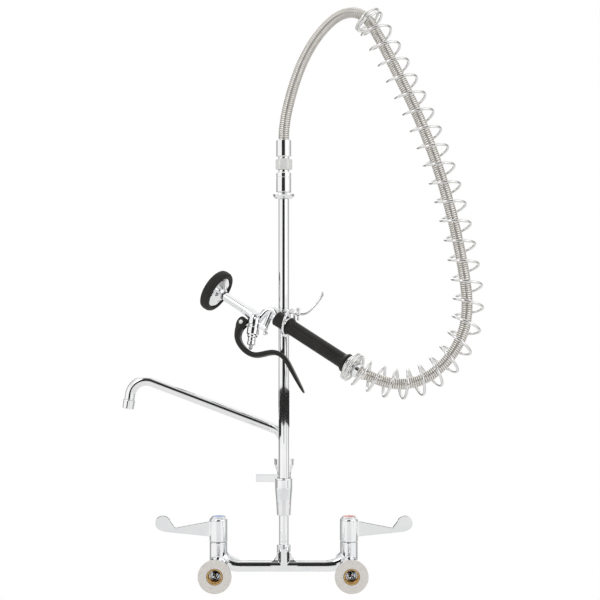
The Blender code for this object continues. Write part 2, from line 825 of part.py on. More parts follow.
def make_spout_valve():
    forward = placed((0, -1, 0), (0, RISER_Y, ARM_Z))
    gland = [
        (0.0036, 0.0655),
        (0.0076, 0.0655),
        (0.0082, 0.0649),
        (0.0082, 0.0603),
        (0.0063, 0.0603),
        (0.0063, 0.0455),
        (0.0036, 0.0455),
    ]
    turned("spout_valve_gland", gland, BRASS, forward, 20, ring=True)
    spindle = [
        (0, 0.0745),
        (0.0032, 0.0745),
        (0.0032, 0.0470),
        (0, 0.0470),
    ]
    turned("spout_valve_spindle", spindle, BRASS, forward, 16)
    hub = [
        (0, 0.0770),
        (0.0062, 0.0770),
        (0.0072, 0.0760),
        (0.0072, 0.0658),
        (0, 0.0658),
    ]
    lever = turned("spout_valve_lever", hub, CHROME, forward, 24)
    bar = box("lever_bar", (0, -0.0722, -0.0061), (0.0458, -0.0672, 0.0061))
    bar.matrix_world = Matrix.Translation((0, RISER_Y, ARM_Z))
    unite(lever, baked(bevelled(bar, 0.0008)))
    cut(
        lever,
        cylinder("spindle_hole", 0.0035, 0.0600, 0.0748, None, forward, 14, CUTTERS),
    )


# ---------------------------------------------------------------- riser and its top


def make_riser():
    here = Matrix.Translation((0, RISER_Y, 0))
    tube_ring("riser_pipe", RISER_R, RISER_R - RISER_WALL, RISER_FOOT, RISER_TOP, CHROME, here, 20)
    seat = [
        (0.0070, 0.5775),
        (0.0126, 0.5775),
        (0.0172, 0.5750),
        (0.0174, 0.5738),
        (0.0164, 0.5712),
        (0.0118, RISER_TOP + GAP),
        (0.0070, RISER_TOP + GAP),
    ]
    turned("spring_seat", seat, CHROME, here, ring=True)
    adaptor = [
        (0.0070, 0.6128),
        (0.0086, 0.6128),
        (0.0086, 0.6088),
        (0.0112, 0.6088),
        (0.0121, 0.6076),
        (0.0121, 0.5790),
        (0.0117, 0.5778),
        (0.0070, 0.5778),
    ]
    turned("hose_adaptor", adaptor, CHROME, here, ring=True)
    nut = hexagon("hose_union_nut", 0.0232, 0.6131, 0.6297, CHROME, here)
    cut(nut, cylinder("union_bore", 0.0070, 0.6000, 0.6400, None, here, 14, CUTTERS))
    ferrule = [
        (0.0089, HOSE_START_Z),
        (0.0114, HOSE_START_Z),
        (0.0121, HOSE_START_Z - 0.0007),
        (0.0121, 0.6342),
        (0.0112, 0.6332),
        (0.0088, 0.6332),
        (0.0088, 0.6300),
        (0.0070, 0.6300),
        (0.0070, 0.6500),
        (0.0089, 0.6500),
    ]
    turned("hose_top_ferrule", ferrule, CHROME, here, ring=True)


def handle_end():
    """Where the hose meets the handle, and the direction in which it leaves it."""
    end = GUN @ Vector((0.1322, 0, 0))
    before = GUN @ Vector((0.1500, 0, 0))
    return end, before


def hose_line(step):
    end, before = handle_end()
    return smooth_line([*HOSE_ROUTE, before, end], step)


def make_hose():
    line = hose_line(2 * HOSE_R)
    curve = curve_object("hose", line, HOSE_R, STEEL, None, 2)
    return curve


def coil_pitch(share):
    """The spring's pitch at a share of its open length: wide down the long run, close at its ends."""
    for (low, before), (high, after) in zip(COIL_PITCHES, COIL_PITCHES[1:]):
        if share <= high:
            return before + (after - before) * (share - low) / (high - low)
    return COIL_PITCHES[-1][1]


def coil_heights(length, per_turn):
    """Lengths from the spring's top end, one for each point of its wire."""
    close = COIL_CLOSE_PITCH / per_turn
    closed = COIL_CLOSE_TURNS * COIL_CLOSE_PITCH
    heights = [i * close for i in range(COIL_CLOSE_TURNS * per_turn)]
    s = closed
    while s < length - closed:
        heights.append(s)
        s += coil_pitch((s - closed) / (length - 2 * closed)) / per_turn
    heights += [s + i * close for i in range(COIL_CLOSE_TURNS * per_turn + 1)]
    return heights


def coil(line, per_turn):
    """The spring's wire, wound about the line, leaning off it where it hangs free."""
    along = [0.0]
    for a, b in zip(line, line[1:]):
        along.append(along[-1] + (b - a).length)
    length = along[-1] - COIL_END_GAP - COIL_START
    side = Vector((0, 1, 0))
    frames = []
    for i, point in enumerate(line):
        ahead = (line[min(i + 1, len(line) - 1)] - line[max(i - 1, 0)]).normalized()
        side = (side - side.dot(ahead) * ahead).normalized()
        frames.append((point, side.copy(), ahead.cross(side)))
    found = []
    for i, height in enumerate(coil_heights(length, per_turn)):
        s = COIL_START + height
        k = 0
        while k < len(line) - 2 and along[k + 1] < s:
            k += 1
        f = (s - along[k]) / (along[k + 1] - along[k])
        point = frames[k][0].lerp(frames[k + 1][0], f)
        a = frames[k][1].lerp(frames[k + 1][1], f).normalized()
        b = frames[k][2].lerp(frames[k + 1][2], f).normalized()
        angle = COIL_PHASE - 2 * PI * i / per_turn
        lean = COIL_LEAN * math.sin(PI * min(1, height / length / 0.85))
        point = point + Vector((-lean, 0, 0))
        found.append(point + COIL_R * (math.cos(angle) * a + math.sin(angle) * b))
    return found


def make_hose_spring():
    line = hose_line(HOSE_R) + [GUN @ Vector((COIL_END_U, 0, 0))]
    points = coil(line, 8)
    curve_object("hose_spring", points, COIL_WIRE_R, SPRING_WIRE, None, 0)


# ---------------------------------------------------------------- spray valve


def along_gun(u=0.0, v=0.0):
    """Local Z along the handle's axis, from a point of the spray valve's frame."""
    return GUN @ placed((1, 0, 0), (u, v, 0), up=(0, 1, 0))


def make_handle():
    here = along_gun()
    grip = [
        (0.0098, GRIP_END),
        (0.0146, GRIP_END),
        (0.0151, GRIP_END - 0.0008),
        (0.0151, GRIP_END - 0.0038),
        (0.0132, GRIP_END - 0.0062),
        (GRIP_R, GRIP_END - 0.0085),
        (GRIP_R, GRIP_START + 0.0082),
        (0.0130, GRIP_START + 0.0062),
        (0.0137, GRIP_START + 0.0046),
        (0.0137, GRIP_START + 0.0010),
        (0.0128, GRIP_START),
        (0.0098, GRIP_START),
    ]
    turned("handle_grip", grip, BLACK, here, ring=True)
    collar = [
        (0.0098, GRIP_START - 0.0050),
        (0.0108, GRIP_START - 0.0050),
        (0.0115, GRIP_START - 0.0060),
        (0.0118, -0.0145),
        (0.0108, -0.0157),
        (0.0098, -0.0157),
    ]
    turned("front_collar", collar, BLACK, here, ring=True)
    tube = [
        (0.0080, 0.1232),
        (0.0095, 0.1232),
        (0.0095, -0.0120),
        (0.0080, -0.0120),
    ]
    turned("handle_tube", tube, CHROME, here, ring=True)
    nut = [
        (0.0078, 0.1290),
        (0.0118, 0.1290),
        (0.0136, 0.1272),
        (0.0141, 0.1240),
        (0.0141, GRIP_END + GAP),
        (0.0098, GRIP_END + GAP),
        (0.0098, 0.1236),
        (0.0078, 0.1236),
    ]
    turned("handle_nut", nut, CHROME, here, ring=True)
    ferrule = [
        (0.0089, 0.1440),
        (0.0108, 0.1440),
        (0.0114, 0.1432),
        (0.0114, 0.1293),
        (0.0078, 0.1293),
        (0.0078, 0.1318),
        (0.0089, 0.1318),
    ]
    turned("hose_end_ferrule", ferrule, CHROME, here, ring=True)


def bonnet_frame():
    """Local Z along the valve's own axis, from the body towards the trigger."""
    return GUN @ placed(BONNET_AXIS, (*BONNET_FOOT, 0), up=(0, 0, 1))


def make_spray_body():
    """The casting: front socket, valve chamber, the arch to the handle, the strut and the lug."""
    front = [
        (-0.0690, HEAD_V, 0),
        (-0.0600, HEAD_V, 0),
        (-0.0530, 0.0160, 0),
        (-0.0465, 0.0172, 0),
        (-0.0410, 0.0190, 0),
    ]
    swell = [0.0079, 0.0082, 0.0088, 0.0096, 0.0102]
    body = rod(
        "spray_body", front, 0.010, CHROME, GUN, 4, radii=[r / 0.010 for r in swell]
    )
    valve_axis = bonnet_frame()
    chamber = [
        (0, 0.0012),
        (0.0102, 0.0012),
        *arc((0, -0.0110), 0.0102, 0, -90, 6),
    ]
    chamber_piece = turned("chamber", chamber, None, valve_axis, 24, collection=CUTTERS)
    arch_line = smooth_line(
        [
            (-0.0385, 0.0180, 0),
            (-0.0372, 0.0080, 0),
            (-0.0345, -0.0015, 0),
            (-0.0285, -0.0068, 0),
            (-0.0215, -0.0064, 0),
            (-0.0160, -0.0025, 0),
        ],
        0.0035,
    )
    arch = rod("arch", arch_line, 0.0056, None, GUN, 4)
    spigot = cylinder("spigot", 0.0075, -0.0205, -0.0040, None, along_gun(), 18, CUTTERS)
    strut = rod(
        "strut", [(-0.0276, -0.0030, 0), (-0.0221, 0.0270, 0)], 0.0044, None, GUN, 4
    )
    foot = box("strut_foot", (-0.0380, 0.0205, -0.0050), (-0.0185, 0.0268, 0.0050), None, GUN)
    ear = []
    for c in (-0.0032, 0.0032):
        ring = [Vector((-0.0420, 0.0120, c)), Vector((-0.0420, 0.0260, c))]
        ring += [Vector((x, y, c)) for x, y in arc(PIVOT, 0.0062, 40, 220, 8)]
        ear.append(ring)
    lug = loft("pivot_lug", ear, None, GUN)
    unite(body, chamber_piece, arch, spigot, strut, baked(bevelled(foot, 0.001)), lug)
    at_pivot = GUN @ placed((0, 0, 1), (*PIVOT, 0))
    flow_axis = GUN @ placed((0.80, 0.60, 0), (-0.0215, 0.0262, 0))
    cut(
        body,
        cylinder("bonnet_room", 0.0103, 0, 0.0300, None, valve_axis, 18, CUTTERS),
        cylinder("plunger_bore", 0.0064, -0.0145, 0.0100, None, valve_axis, 14, CUTTERS),
        cylinder("pivot_hole", 0.0023, -0.0080, 0.0080, None, at_pivot, 14, CUTTERS),
        cylinder("head_bore", 0.0050, -0.0720, -0.0550, None, along_gun(0, HEAD_V), 14, CUTTERS),
        cylinder("flow_hole", 0.0023, 0.0000, 0.0100, None, flow_axis, 12, CUTTERS),
    )
    flow = [
        (0, 0.0078),
        (0.0030, 0.0076),
        (0.0036, 0.0066),
        (0.0036, 0.0046),
        (0.0020, 0.0046),
        (0.0020, 0.0006),
        (0, 0.0006),
    ]
    turned("flow_screw", flow, CHROME, flow_axis, 14)


def make_valve():
    here = bonnet_frame()
    bonnet = [
        (0.0036, BONNET_LENGTH),
        (0.0056, BONNET_LENGTH),
        (0.0064, BONNET_LENGTH - 0.0008),
        (0.0064, 0.0210),
        (0.0078, 0.0196),
        (0.0078, 0.0170),
        (0.0096, 0.0152),
        (0.0098, 0.0050),
        (0.0090, 0.0040),
        (0.0090, GAP),
        (0.0060, GAP),
        (0.0060, 0.0200),
        (0.0036, 0.0220),
    ]
    turned("bonnet_nut", bonnet, CHROME, here, 18, ring=True)
    reach = BONNET_LENGTH + STEM_PROUD
    stem = [
        (0, reach),
        (0.0015, reach - 0.0003),
        (0.0026, reach - 0.0012),
        (0.0030, reach - 0.0024),
        (0.0030, SPRING_SHOULDER),
        (0.0050, SPRING_SHOULDER),
        (0.0050, SPRING_SHOULDER - 0.0008),
        (0.0030, SPRING_SHOULDER - 0.0008),
        (0.0030, -0.0040),
        (0, -0.0040),
    ]
    turned("plunger_stem", stem, STEEL, here, 14)
    washer = [(0, -0.0043), (0.0056, -0.0043), (0.0056, -0.0070), (0, -0.0070)]
    turned("valve_washer", washer, RUBBER, here, 16)
    points = []
    turns, per_turn = 5, 8
    low, high = 0.0010, SPRING_SHOULDER - 0.0008 - GAP - 0.0007
    for i in range(turns * per_turn + 1):
        a = 2 * PI * i / per_turn
        rise = low + (high - low) * i / (turns * per_turn)
        points.append((0.0047 * math.cos(a), 0.0047 * math.sin(a), rise))
    curve_object("return_spring", points, 0.0006, SPRING_WIRE, here, 0)


def make_head():
    tube_ring(
        "head_tube", 0.0069, 0.0052, -0.1105, -0.0693, CHROME, along_gun(0, HEAD_V), 24
    )
    here = along_gun(0, HEAD_V)
    dish = [
        (0.0054, -0.1108),
        (0.0092, -0.1108),
        (0.0100, -0.1120),
        (0.0110, -0.1140),
        (0.0160, -0.1166),
        (0.0226, -0.1180),
        (0.0250, -0.1190),
        (0.0252, -0.1250),
        (0.0238, -0.1256),
        (0.0220, -0.1200),
        (0.0150, -0.1190),
        (0.0054, -0.1175),
    ]
    turned("spray_dish", dish, CHROME, here, 18, ring=True)
    tyre = [
        (0.0255, -0.1178),
        (0.0290, -0.1168),
        (0.0322, -0.1182),
        (0.0338, -0.1212),
        (0.0340, -0.1270),
        (0.0330, -0.1308),
        (0.0300, -0.1330),
        (0.0262, -0.1330),
        (0.0240, -0.1318),
        (0.0240, -0.1300),
        (0.0255, -0.1260),
    ]
    turned("bumper_ring", tyre, RUBBER, here, 18, ring=True)
    face = [
        (0, -0.1210),
        (0.0216, -0.1210),
        (0.0230, -0.1264),
        (0.0222, -0.1282),
        (0.0150, -0.1290),
        (0.0048, -0.1294),
        (0.0048, -0.1275),
        (0, -0.1275),
    ]
    turned("spray_face", face, STEEL, here, 24)
    screw = [
        (0, -0.1278),
        (0.0040, -0.1278),
        (0.0040, -0.1296),
        (0.0020, -0.1304),
        (0, -0.1304),
    ]
    turned("face_screw", screw, STEEL, here, 16)


def make_trigger():
    at_pivot = GUN @ Matrix.Translation((*PIVOT, 0))
    stations = [(x - PIVOT[0], y - PIVOT[1], t, w) for x, y, t, w in TRIGGER_STATIONS]
    lever = flat_bar("trigger_lever", stations, BLACK, at_pivot, 10)
    slot = box("yoke_slot", (-0.0120, -0.0130, -0.0036), (0.0180, 0.0085, 0.0036), None, at_pivot)
    hole = cylinder("pin_hole", 0.0023, -0.0120, 0.0120, None, at_pivot, 14, CUTTERS)
    cut(lever, slot, hole)
    pin = [
        (0, 0.0086),
        (0.0020, 0.0086),
        (0.0020, -0.0086),
        (0.0034, -0.0086),
        (0.0034, -0.0096),
        (0.0022, -0.0104),
        (0, -0.0104),
    ]
    turned("pivot_screw", pin, STEEL, at_pivot, 14)


# ---------------------------------------------------------------- hook and hanging ring


def make_hook():
    here = Matrix.Translation((0, RISER_Y, HOOK_Z))
    tube_ring("hook_clamp", 0.0115, RISER_R + GAP, -0.0070, 0.0070, CHROME, here, 28, 0.0006)
    line = smooth_line(FINGER_ROUTE, 0.006)
    finger = rod("hook_finger", line, 0.0021, CHROME, None, 2)
    boss = bpy.data.meshes.new("boss")
    work = bmesh.new()
    bmesh.ops.create_uvsphere(work, u_segments=10, v_segments=6, radius=0.0040)
    work.to_mesh(boss)
    work.free()
    ball = add("finger_boss", boss, None, Matrix.Translation(HOOK_SCREW_AT), CUTTERS)
    unite(finger, ball)
    at_screw = Matrix.Translation(HOOK_SCREW_AT)
    cut(finger, cylinder("screw_way", 0.0021, -0.0100, 0.0100, None, at_screw, 12, CUTTERS))
    screw = [
        (0, 0.0092),
        (0.0026, 0.0090),
        (0.0032, 0.0080),
        (0.0032, 0.0046),
        (0.0018, 0.0043),
        (0.0018, -0.0105),
        (0, -0.0110),
    ]
    turned("hook_screw", screw, CHROME, at_screw, 14)


def make_ring():
    top = Vector((0, 0, 1)) - RING_NORMAL.z * RING_NORMAL
    matrix = placed(RING_NORMAL, RING_CENTRE, up=top)
    torus("hang_ring", RING_R, RING_WIRE_R, CHROME, matrix, 24, 8)


def build():
    make_bridge_body()
    for side, word in ((COLD, "cold"), (HOT, "hot")):
        make_inlet(side, word)
        make_cartridge(side, word)
        make_wrist_lever(side, word)
    make_stem()
    make_tee()
    make_spout_nut()
    make_spout()
    make_spout_valve()
    make_riser()
    make_hose()
    make_hose_spring()
    make_handle()
    make_spray_body()
    make_valve()
    make_head()
    make_trigger()
    make_hook()
    make_ring()


build()
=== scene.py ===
"""Looks of the wall-mounted pre-rinse faucet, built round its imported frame.

Metres in world space. Profiles of turned pieces are in millimetres: (radius, height) pairs.
"""

import json
import math

import bmesh
import bpy
from mathutils import Matrix, Vector


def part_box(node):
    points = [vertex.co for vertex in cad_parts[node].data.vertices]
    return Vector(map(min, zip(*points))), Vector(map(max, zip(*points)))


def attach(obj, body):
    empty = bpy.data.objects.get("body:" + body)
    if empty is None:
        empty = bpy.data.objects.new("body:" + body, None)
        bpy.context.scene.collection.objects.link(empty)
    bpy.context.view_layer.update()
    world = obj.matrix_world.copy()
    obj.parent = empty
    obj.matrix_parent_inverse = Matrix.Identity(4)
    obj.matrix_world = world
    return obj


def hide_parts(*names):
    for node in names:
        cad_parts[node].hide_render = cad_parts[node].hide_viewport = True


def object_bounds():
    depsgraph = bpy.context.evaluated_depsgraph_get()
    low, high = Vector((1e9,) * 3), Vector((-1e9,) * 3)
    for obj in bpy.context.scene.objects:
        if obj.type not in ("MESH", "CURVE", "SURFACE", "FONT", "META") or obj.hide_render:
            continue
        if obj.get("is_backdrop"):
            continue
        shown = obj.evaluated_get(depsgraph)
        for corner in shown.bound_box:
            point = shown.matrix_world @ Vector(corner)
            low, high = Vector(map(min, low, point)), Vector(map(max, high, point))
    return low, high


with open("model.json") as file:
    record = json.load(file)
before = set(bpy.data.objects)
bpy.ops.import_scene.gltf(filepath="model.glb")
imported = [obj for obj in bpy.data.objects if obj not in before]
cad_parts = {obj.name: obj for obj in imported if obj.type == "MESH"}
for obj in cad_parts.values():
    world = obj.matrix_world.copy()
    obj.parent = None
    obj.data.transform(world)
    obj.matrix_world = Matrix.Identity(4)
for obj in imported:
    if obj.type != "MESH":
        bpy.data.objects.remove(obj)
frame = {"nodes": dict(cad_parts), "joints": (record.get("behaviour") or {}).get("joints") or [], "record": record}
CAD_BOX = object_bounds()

PI = math.pi
MM = 0.001
COLD, HOT = 1, -1
WORDS = {COLD: "cold", HOT: "hot"}

# ---------------- places, from the frame


def middle(node):
    low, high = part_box(node)
    return (low + high) / 2


def joint(name):
    return next(j for j in frame["joints"] if j["name"] == name)


HUB_X = joint("cold_lever_turn")["pos_m"][0]
RISER_Y = joint("cold_lever_turn")["pos_m"][1]
SPOUT_Y = joint("spout_swivel")["pos_m"][1]
ARM_Z = joint("spout_valve_turn")["pos_m"][2]
HOSE_R = 0.0087
HOSE_RIDGE_PITCH = 0.0032
HOSE_RIDGE_DEPTH = 0.0011
HOSE_LAST_U = (150.0, 132.2)
COIL_R = 0.0217
COIL_WIRE_R = 0.0022
COIL_START = 0.262
COIL_END_GAP = 0.004
COIL_END_U = 120.0
COIL_CLOSE_TURNS = 2
COIL_CLOSE_PITCH = 2.5 * COIL_WIRE_R
COIL_PHASE = math.radians(180)
COIL_LEAN = 0.0030
COIL_PITCHES = [  # share of the open length, pitch
    (0.0, 0.0282),
    (0.3, 0.0288),
    (0.5, 0.0308),
    (0.72, 0.0308),
    (0.86, 0.0236),
    (1.0, 0.0225),
]

# The hose's route as it hangs, from the riser's ferrule round to the handle.
HOSE_ROUTE = [
    (0.0, -0.1080, 0.6597),
    (-0.0004, -0.1080, 0.6740),
    (-0.0036, -0.1078, 0.6980),
    (-0.0098, -0.1070, 0.7245),
    (-0.0183, -0.1055, 0.7524),
    (-0.0298, -0.1030, 0.7815),
    (-0.0450, -0.0998, 0.8087),
    (-0.0625, -0.0960, 0.8310),
    (-0.0822, -0.0912, 0.8475),
    (-0.1016, -0.0861, 0.8537),
    (-0.1178, -0.0812, 0.8498),
    (-0.1314, -0.0768, 0.8380),
    (-0.1448, -0.0722, 0.8150),
    (-0.1574, -0.0680, 0.7905),
    (-0.1814, -0.0610, 0.7405),
    (-0.2041, -0.0550, 0.6910),
    (-0.2243, -0.0500, 0.6394),
    (-0.2409, -0.0460, 0.5881),
    (-0.2550, -0.0425, 0.5359),
    (-0.2662, -0.0392, 0.4840),
    (-0.2739, -0.0365, 0.4377),
    (-0.2764, -0.0346, 0.4060),
    (-0.2742, -0.0332, 0.3780),
    (-0.2677, -0.0320, 0.3555),
    (-0.2578, -0.0310, 0.3360),
    (-0.2463, -0.0302, 0.3203),
    (-0.2316, -0.0294, 0.3057),
    (-0.2152, -0.0288, 0.2945),
    (-0.1974, -0.0286, 0.2872),
    (-0.1763, -0.0288, 0.2842),
    (-0.1552, -0.0298, 0.2868),
    (-0.1385, -0.0313, 0.2922),
    (-0.1230, -0.0334, 0.2990),
]

# The spray valve's own frame, in millimetres: +u to the hose, +v to the trigger's side.
GUN_ORIGIN = Vector((-0.0012, -0.082, 0.3748))
GUN_SLOPE = math.radians(32.54)
GUN_SWING = math.radians(20.0)
HEAD_V = 15.5
BONNET_FOOT = (-40.9, 27.5)
BONNET_DIR = (0.430, 0.903, 0)
PIVOT = (-58.6, 34.8)
HOOK_SCREW_AT = (-0.0222, -0.0755, 0.3896)
STUDIO_R = 2.3


# ---------------- camera, stage and light


def make_camera():
    """Square to the wall from behind it, level, at the height of the hanging spray valve."""
    data = bpy.data.cameras.new("camera")
    data.sensor_width = 36
    data.lens = 83.2
    camera = bpy.data.objects.new("camera", data)
    camera.location = (-0.0250, 2.052, 0.4103)
    camera.rotation_euler = (PI / 2, 0, PI)
    bpy.context.scene.collection.objects.link(camera)
    bpy.context.scene.camera = camera


def math_node(tree, operation, *values):
    node = tree.nodes.new("ShaderNodeMath")
    node.operation = operation
    for socket, value in zip(node.inputs, values):
        if isinstance(value, (int, float)):
            socket.default_value = value
        else:
            tree.links.new(value, socket)
    return node.outputs[0]


def between(tree, value, low, high, soft):
    """1 where the value lies between two limits, with soft edges, and 0 elsewhere."""
    steps = []
    for a, b in ((low - soft, low + soft), (high + soft, high - soft)):
        ramp = tree.nodes.new("ShaderNodeMapRange")
        ramp.interpolation_type = "SMOOTHSTEP"
        tree.links.new(value, ramp.inputs["Value"])
        ramp.inputs["From Min"].default_value = min(a, b)
        ramp.inputs["From Max"].default_value = max(a, b)
        ramp.inputs["To Min"].default_value = 0 if a < b else 1
        ramp.inputs["To Max"].default_value = 1 if a < b else 0
        steps.append(ramp.outputs["Result"])
    return math_node(tree, "MULTIPLY", *steps)


# Grey flags in the white studio, as the chrome sees them: from azimuth to azimuth (degrees from
# +Y towards +X), from height to height (degrees), softness, and how much of the white is left.
FLAGS = [
    (108, 168, -40, 40, 5.0, 0.42),
    (-132, -94, -40, 40, 4.0, 0.46),
    (-26, 26, -40, -7.0, 1.6, 0.84),
    (92, 106, -9.0, -4.8, 0.5, 0.12),
    (-56, -47, -9.0, -4.8, 0.5, 0.30),
    (-180, 180, -90, -12, 5.0, 0.86),
    (-70, 80, 26, 62, 6.0, 0.72),
    (-14, 26, 36, 58, 3.0, 0.25),
]


def make_world():
    """White to the camera; to everything else a white studio with soft grey flags."""
    world = bpy.data.worlds.new("studio")
    bpy.context.scene.world = world
    world.use_nodes = True
    tree = world.node_tree
    tree.nodes.clear()
    place = tree.nodes.new("ShaderNodeTexCoord").outputs["Generated"]
    split = tree.nodes.new("ShaderNodeSeparateXYZ")
    tree.links.new(place, split.inputs[0])
    x, y, z = split.outputs
    turn = math_node(tree, "MULTIPLY", math_node(tree, "ARCTAN2", x, y), 180 / PI)
    height = math_node(tree, "MULTIPLY", math_node(tree, "ARCSINE", z), 180 / PI)
    left = None
    for low, high, bottom, top, soft, kept in FLAGS:
        inside = math_node(
            tree,
            "MULTIPLY",
            between(tree, turn, low, high, soft * 1.5),
            between(tree, height, bottom, top, soft),
        )
        keep = math_node(tree, "SUBTRACT", 1, math_node(tree, "MULTIPLY", inside, 1 - kept))
        left = keep if left is None else math_node(tree, "MULTIPLY", left, keep)
    studio = tree.nodes.new("ShaderNodeBackground")
    studio.inputs["Color"].default_value = (1.0, 0.995, 0.985, 1)
    tree.links.new(math_node(tree, "MULTIPLY", left, 1.02), studio.inputs["Strength"])
    plain = tree.nodes.new("ShaderNodeBackground")
    plain.inputs["Color"].default_value = (1, 1, 1, 1)
    path = tree.nodes.new("ShaderNodeLightPath")
    mix = tree.nodes.new("ShaderNodeMixShader")
    tree.links.new(path.outputs["Is Camera Ray"], mix.inputs["Fac"])
    tree.links.new(studio.outputs[0], mix.inputs[1])
    tree.links.new(plain.outputs[0], mix.inputs[2])
    out = tree.nodes.new("ShaderNodeOutputWorld")
    tree.links.new(mix.outputs[0], out.inputs["Surface"])


def only_reflected(card):
    """Staging that shows in the chrome, and nowhere else."""
    card.visible_camera = False
    card.visible_diffuse = False
    card.visible_shadow = False
    card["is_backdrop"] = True


def flag(name, low, high, bottom, top):
    """A black card standing round the studio, from azimuth to azimuth and from height to height."""
    rings = []
    outside = STUDIO_R + 0.01
    for r, z in ((STUDIO_R, bottom), (outside, bottom), (outside, top), (STUDIO_R, top)):
        ring = []
        for i in range(49):
            a = math.radians(low + (high - low) * i / 48)
            ring.append(Vector((r * math.sin(a), r * math.cos(a), z)))
        rings.append(ring)
    strips = list(zip(*rings))
    only_reflected(skin(name, strips, CARD))


def strip_flag(side):
    """A small black strip in front of one half of the bridge, seen only in its chrome."""
    inner, outer = sorted((side * 0.021, side * 0.080))
    card = block("bridge_flag", (inner, -0.0862, -0.0045), (outer, -0.0857, 0.0150))
    card.data.materials.append(CARD)
    only_reflected(card)


def make_flags():
    """The dark room beyond the table's edge, and the dark figure behind the camera."""
    flag("room_flag", -179.5, 179.5, 0.010, 0.125)
    flag("figure_flag", -17, 34, 0.0, 2.1)
    flag("figure_foot_flag", -5, 7, -0.060, 0.0)
    flag("left_flag", 60, 130, -0.03, 0.02)
    for side in (COLD, HOT):
        strip_flag(side)


def make_lights():
    for name, place, size, watts in (
        ("key", (1.3, 1.5, 1.7), 0.9, 5),
        ("fill", (-1.6, 1.2, 1.0), 1.2, 3),
        ("back", (0.4, -2.0, 1.6), 1.2, 5),
    ):
        data = bpy.data.lights.new(name, "AREA")
        data.size = size
        data.energy = watts
        light = bpy.data.objects.new(name, data)
        light.location = place
        aim = Vector((0, -0.1, 0.35)) - Vector(place)
        light.rotation_euler = aim.to_track_quat("-Z", "Y").to_euler()
        bpy.context.scene.collection.objects.link(light)


# ---------------- materials


def ramp_between(tree, source, low, high, dark, light):
    ramp = tree.nodes.new("ShaderNodeValToRGB")
    ramp.color_ramp.elements[0].position = low
    ramp.color_ramp.elements[0].color = (*dark, 1)
    ramp.color_ramp.elements[1].position = high
    ramp.color_ramp.elements[1].color = (*light, 1)
    tree.links.new(source, ramp.inputs["Fac"])
    return ramp.outputs["Color"]


def noise(tree, place, scale, detail=3.0, stretch=(1, 1, 1)):
    mapping = tree.nodes.new("ShaderNodeMapping")
    mapping.inputs["Scale"].default_value = stretch
    tree.links.new(place, mapping.inputs["Vector"])
    node = tree.nodes.new("ShaderNodeTexNoise")
    node.inputs["Scale"].default_value = scale
    node.inputs["Detail"].default_value = detail
    tree.links.new(mapping.outputs["Vector"], node.inputs["Vector"])
    return node.outputs["Fac"]


def make_material(name, dark, light, roughness, metallic=0.0, grain=(60, 900), bump=0.0, shine=0.5):
    """Colour drifts between two shades, roughness between two values, over fine relief."""
    made = bpy.data.materials.new(name)
    made.use_nodes = True
    tree = made.node_tree
    shader = tree.nodes["Principled BSDF"]
    shader.inputs["Metallic"].default_value = metallic
    shader.inputs["Specular IOR Level"].default_value = shine
    place = tree.nodes.new("ShaderNodeTexCoord").outputs["Object"]
    broad = noise(tree, place, grain[0])
    fine = noise(tree, place, grain[1], 2.0)
    tree.links.new(ramp_between(tree, broad, 0.3, 0.7, dark, light), shader.inputs["Base Color"])
    rough = tree.nodes.new("ShaderNodeMapRange")
    rough.inputs["From Min"].default_value = 0.3
    rough.inputs["From Max"].default_value = 0.7
    rough.inputs["To Min"].default_value = roughness[0]
    rough.inputs["To Max"].default_value = roughness[1]
    tree.links.new(math_node(tree, "ADD", math_node(tree, "MULTIPLY", broad, 0.6),
                             math_node(tree, "MULTIPLY", fine, 0.4)), rough.inputs["Value"])
    tree.links.new(rough.outputs["Result"], shader.inputs["Roughness"])
    if bump:
        relief = tree.nodes.new("ShaderNodeBump")
        relief.inputs["Strength"].default_value = 1.0
        relief.inputs["Distance"].default_value = bump
        tree.links.new(fine, relief.inputs["Height"])
        tree.links.new(relief.outputs["Normal"], shader.inputs["Normal"])
    return made


def make_grooved_wire(name, dark, light):
    """Strip-wound steel, with painted shade: ambient occlusion darkens its base colour in the grooves between the
    strips.
    """
    made = make_material(name, dark, light, (0.14, 0.26), 1.0, (140, 1800), 0.00001)
    tree = made.node_tree
    shader = tree.nodes["Principled BSDF"]
    # painted shade: ambient occlusion, multiplied into the base colour, darkens the grooves
    shade = tree.nodes.new("ShaderNodeAmbientOcclusion")
    shade.samples = 4
    shade.inputs["Distance"].default_value = 0.0012
    colour = shader.inputs["Base Color"].links[0].from_socket
    mix = tree.nodes.new("ShaderNodeMix")
    mix.data_type = "RGBA"
    mix.blend_type = "MULTIPLY"
    mix.inputs["Factor"].default_value = 0.9
    tree.links.new(colour, mix.inputs["A"])
    tree.links.new(shade.outputs["Color"], mix.inputs["B"])
    tree.links.new(mix.outputs["Result"], shader.inputs["Base Color"])
    return made


CHROME = make_material("chrome", (0.86, 0.87, 0.885), (0.91, 0.915, 0.92), (0.02, 0.05), 1.0, (25, 1400))
CAST_CHROME = make_material(
    "cast_chrome", (0.84, 0.855, 0.88), (0.91, 0.915, 0.92), (0.03, 0.07), 1.0, (40, 260), 0.000008
)
SATIN = make_material("satin_chrome", (0.80, 0.80, 0.79), (0.86, 0.86, 0.85), (0.34, 0.42), 0.3, (40, 1400))
WIRE = make_material("bright_wire", (0.76, 0.76, 0.755), (0.86, 0.86, 0.855), (0.02, 0.06), 1.0, (90, 1500))
# strip-wound steel, its grooves darkened by painted shade
STRIP = make_grooved_wire("strip_wound_steel", (0.76, 0.73, 0.69), (0.88, 0.86, 0.83))
STEEL = make_material(
    "turned_steel", (0.58, 0.58, 0.57), (0.72, 0.72, 0.71), (0.2, 0.34), 1.0, (120, 1600), 0.00001
)
BRASS = make_material(
    "brass", (0.60, 0.36, 0.12), (0.80, 0.56, 0.24), (0.14, 0.3), 1.0, (150, 1500), 0.00002
)
MOULDING = make_material(
    "black_moulding", (0.010, 0.0098, 0.009), (0.018, 0.017, 0.0155), (0.3, 0.44), 0.0, (90, 2200),
    0.00001, 0.3
)
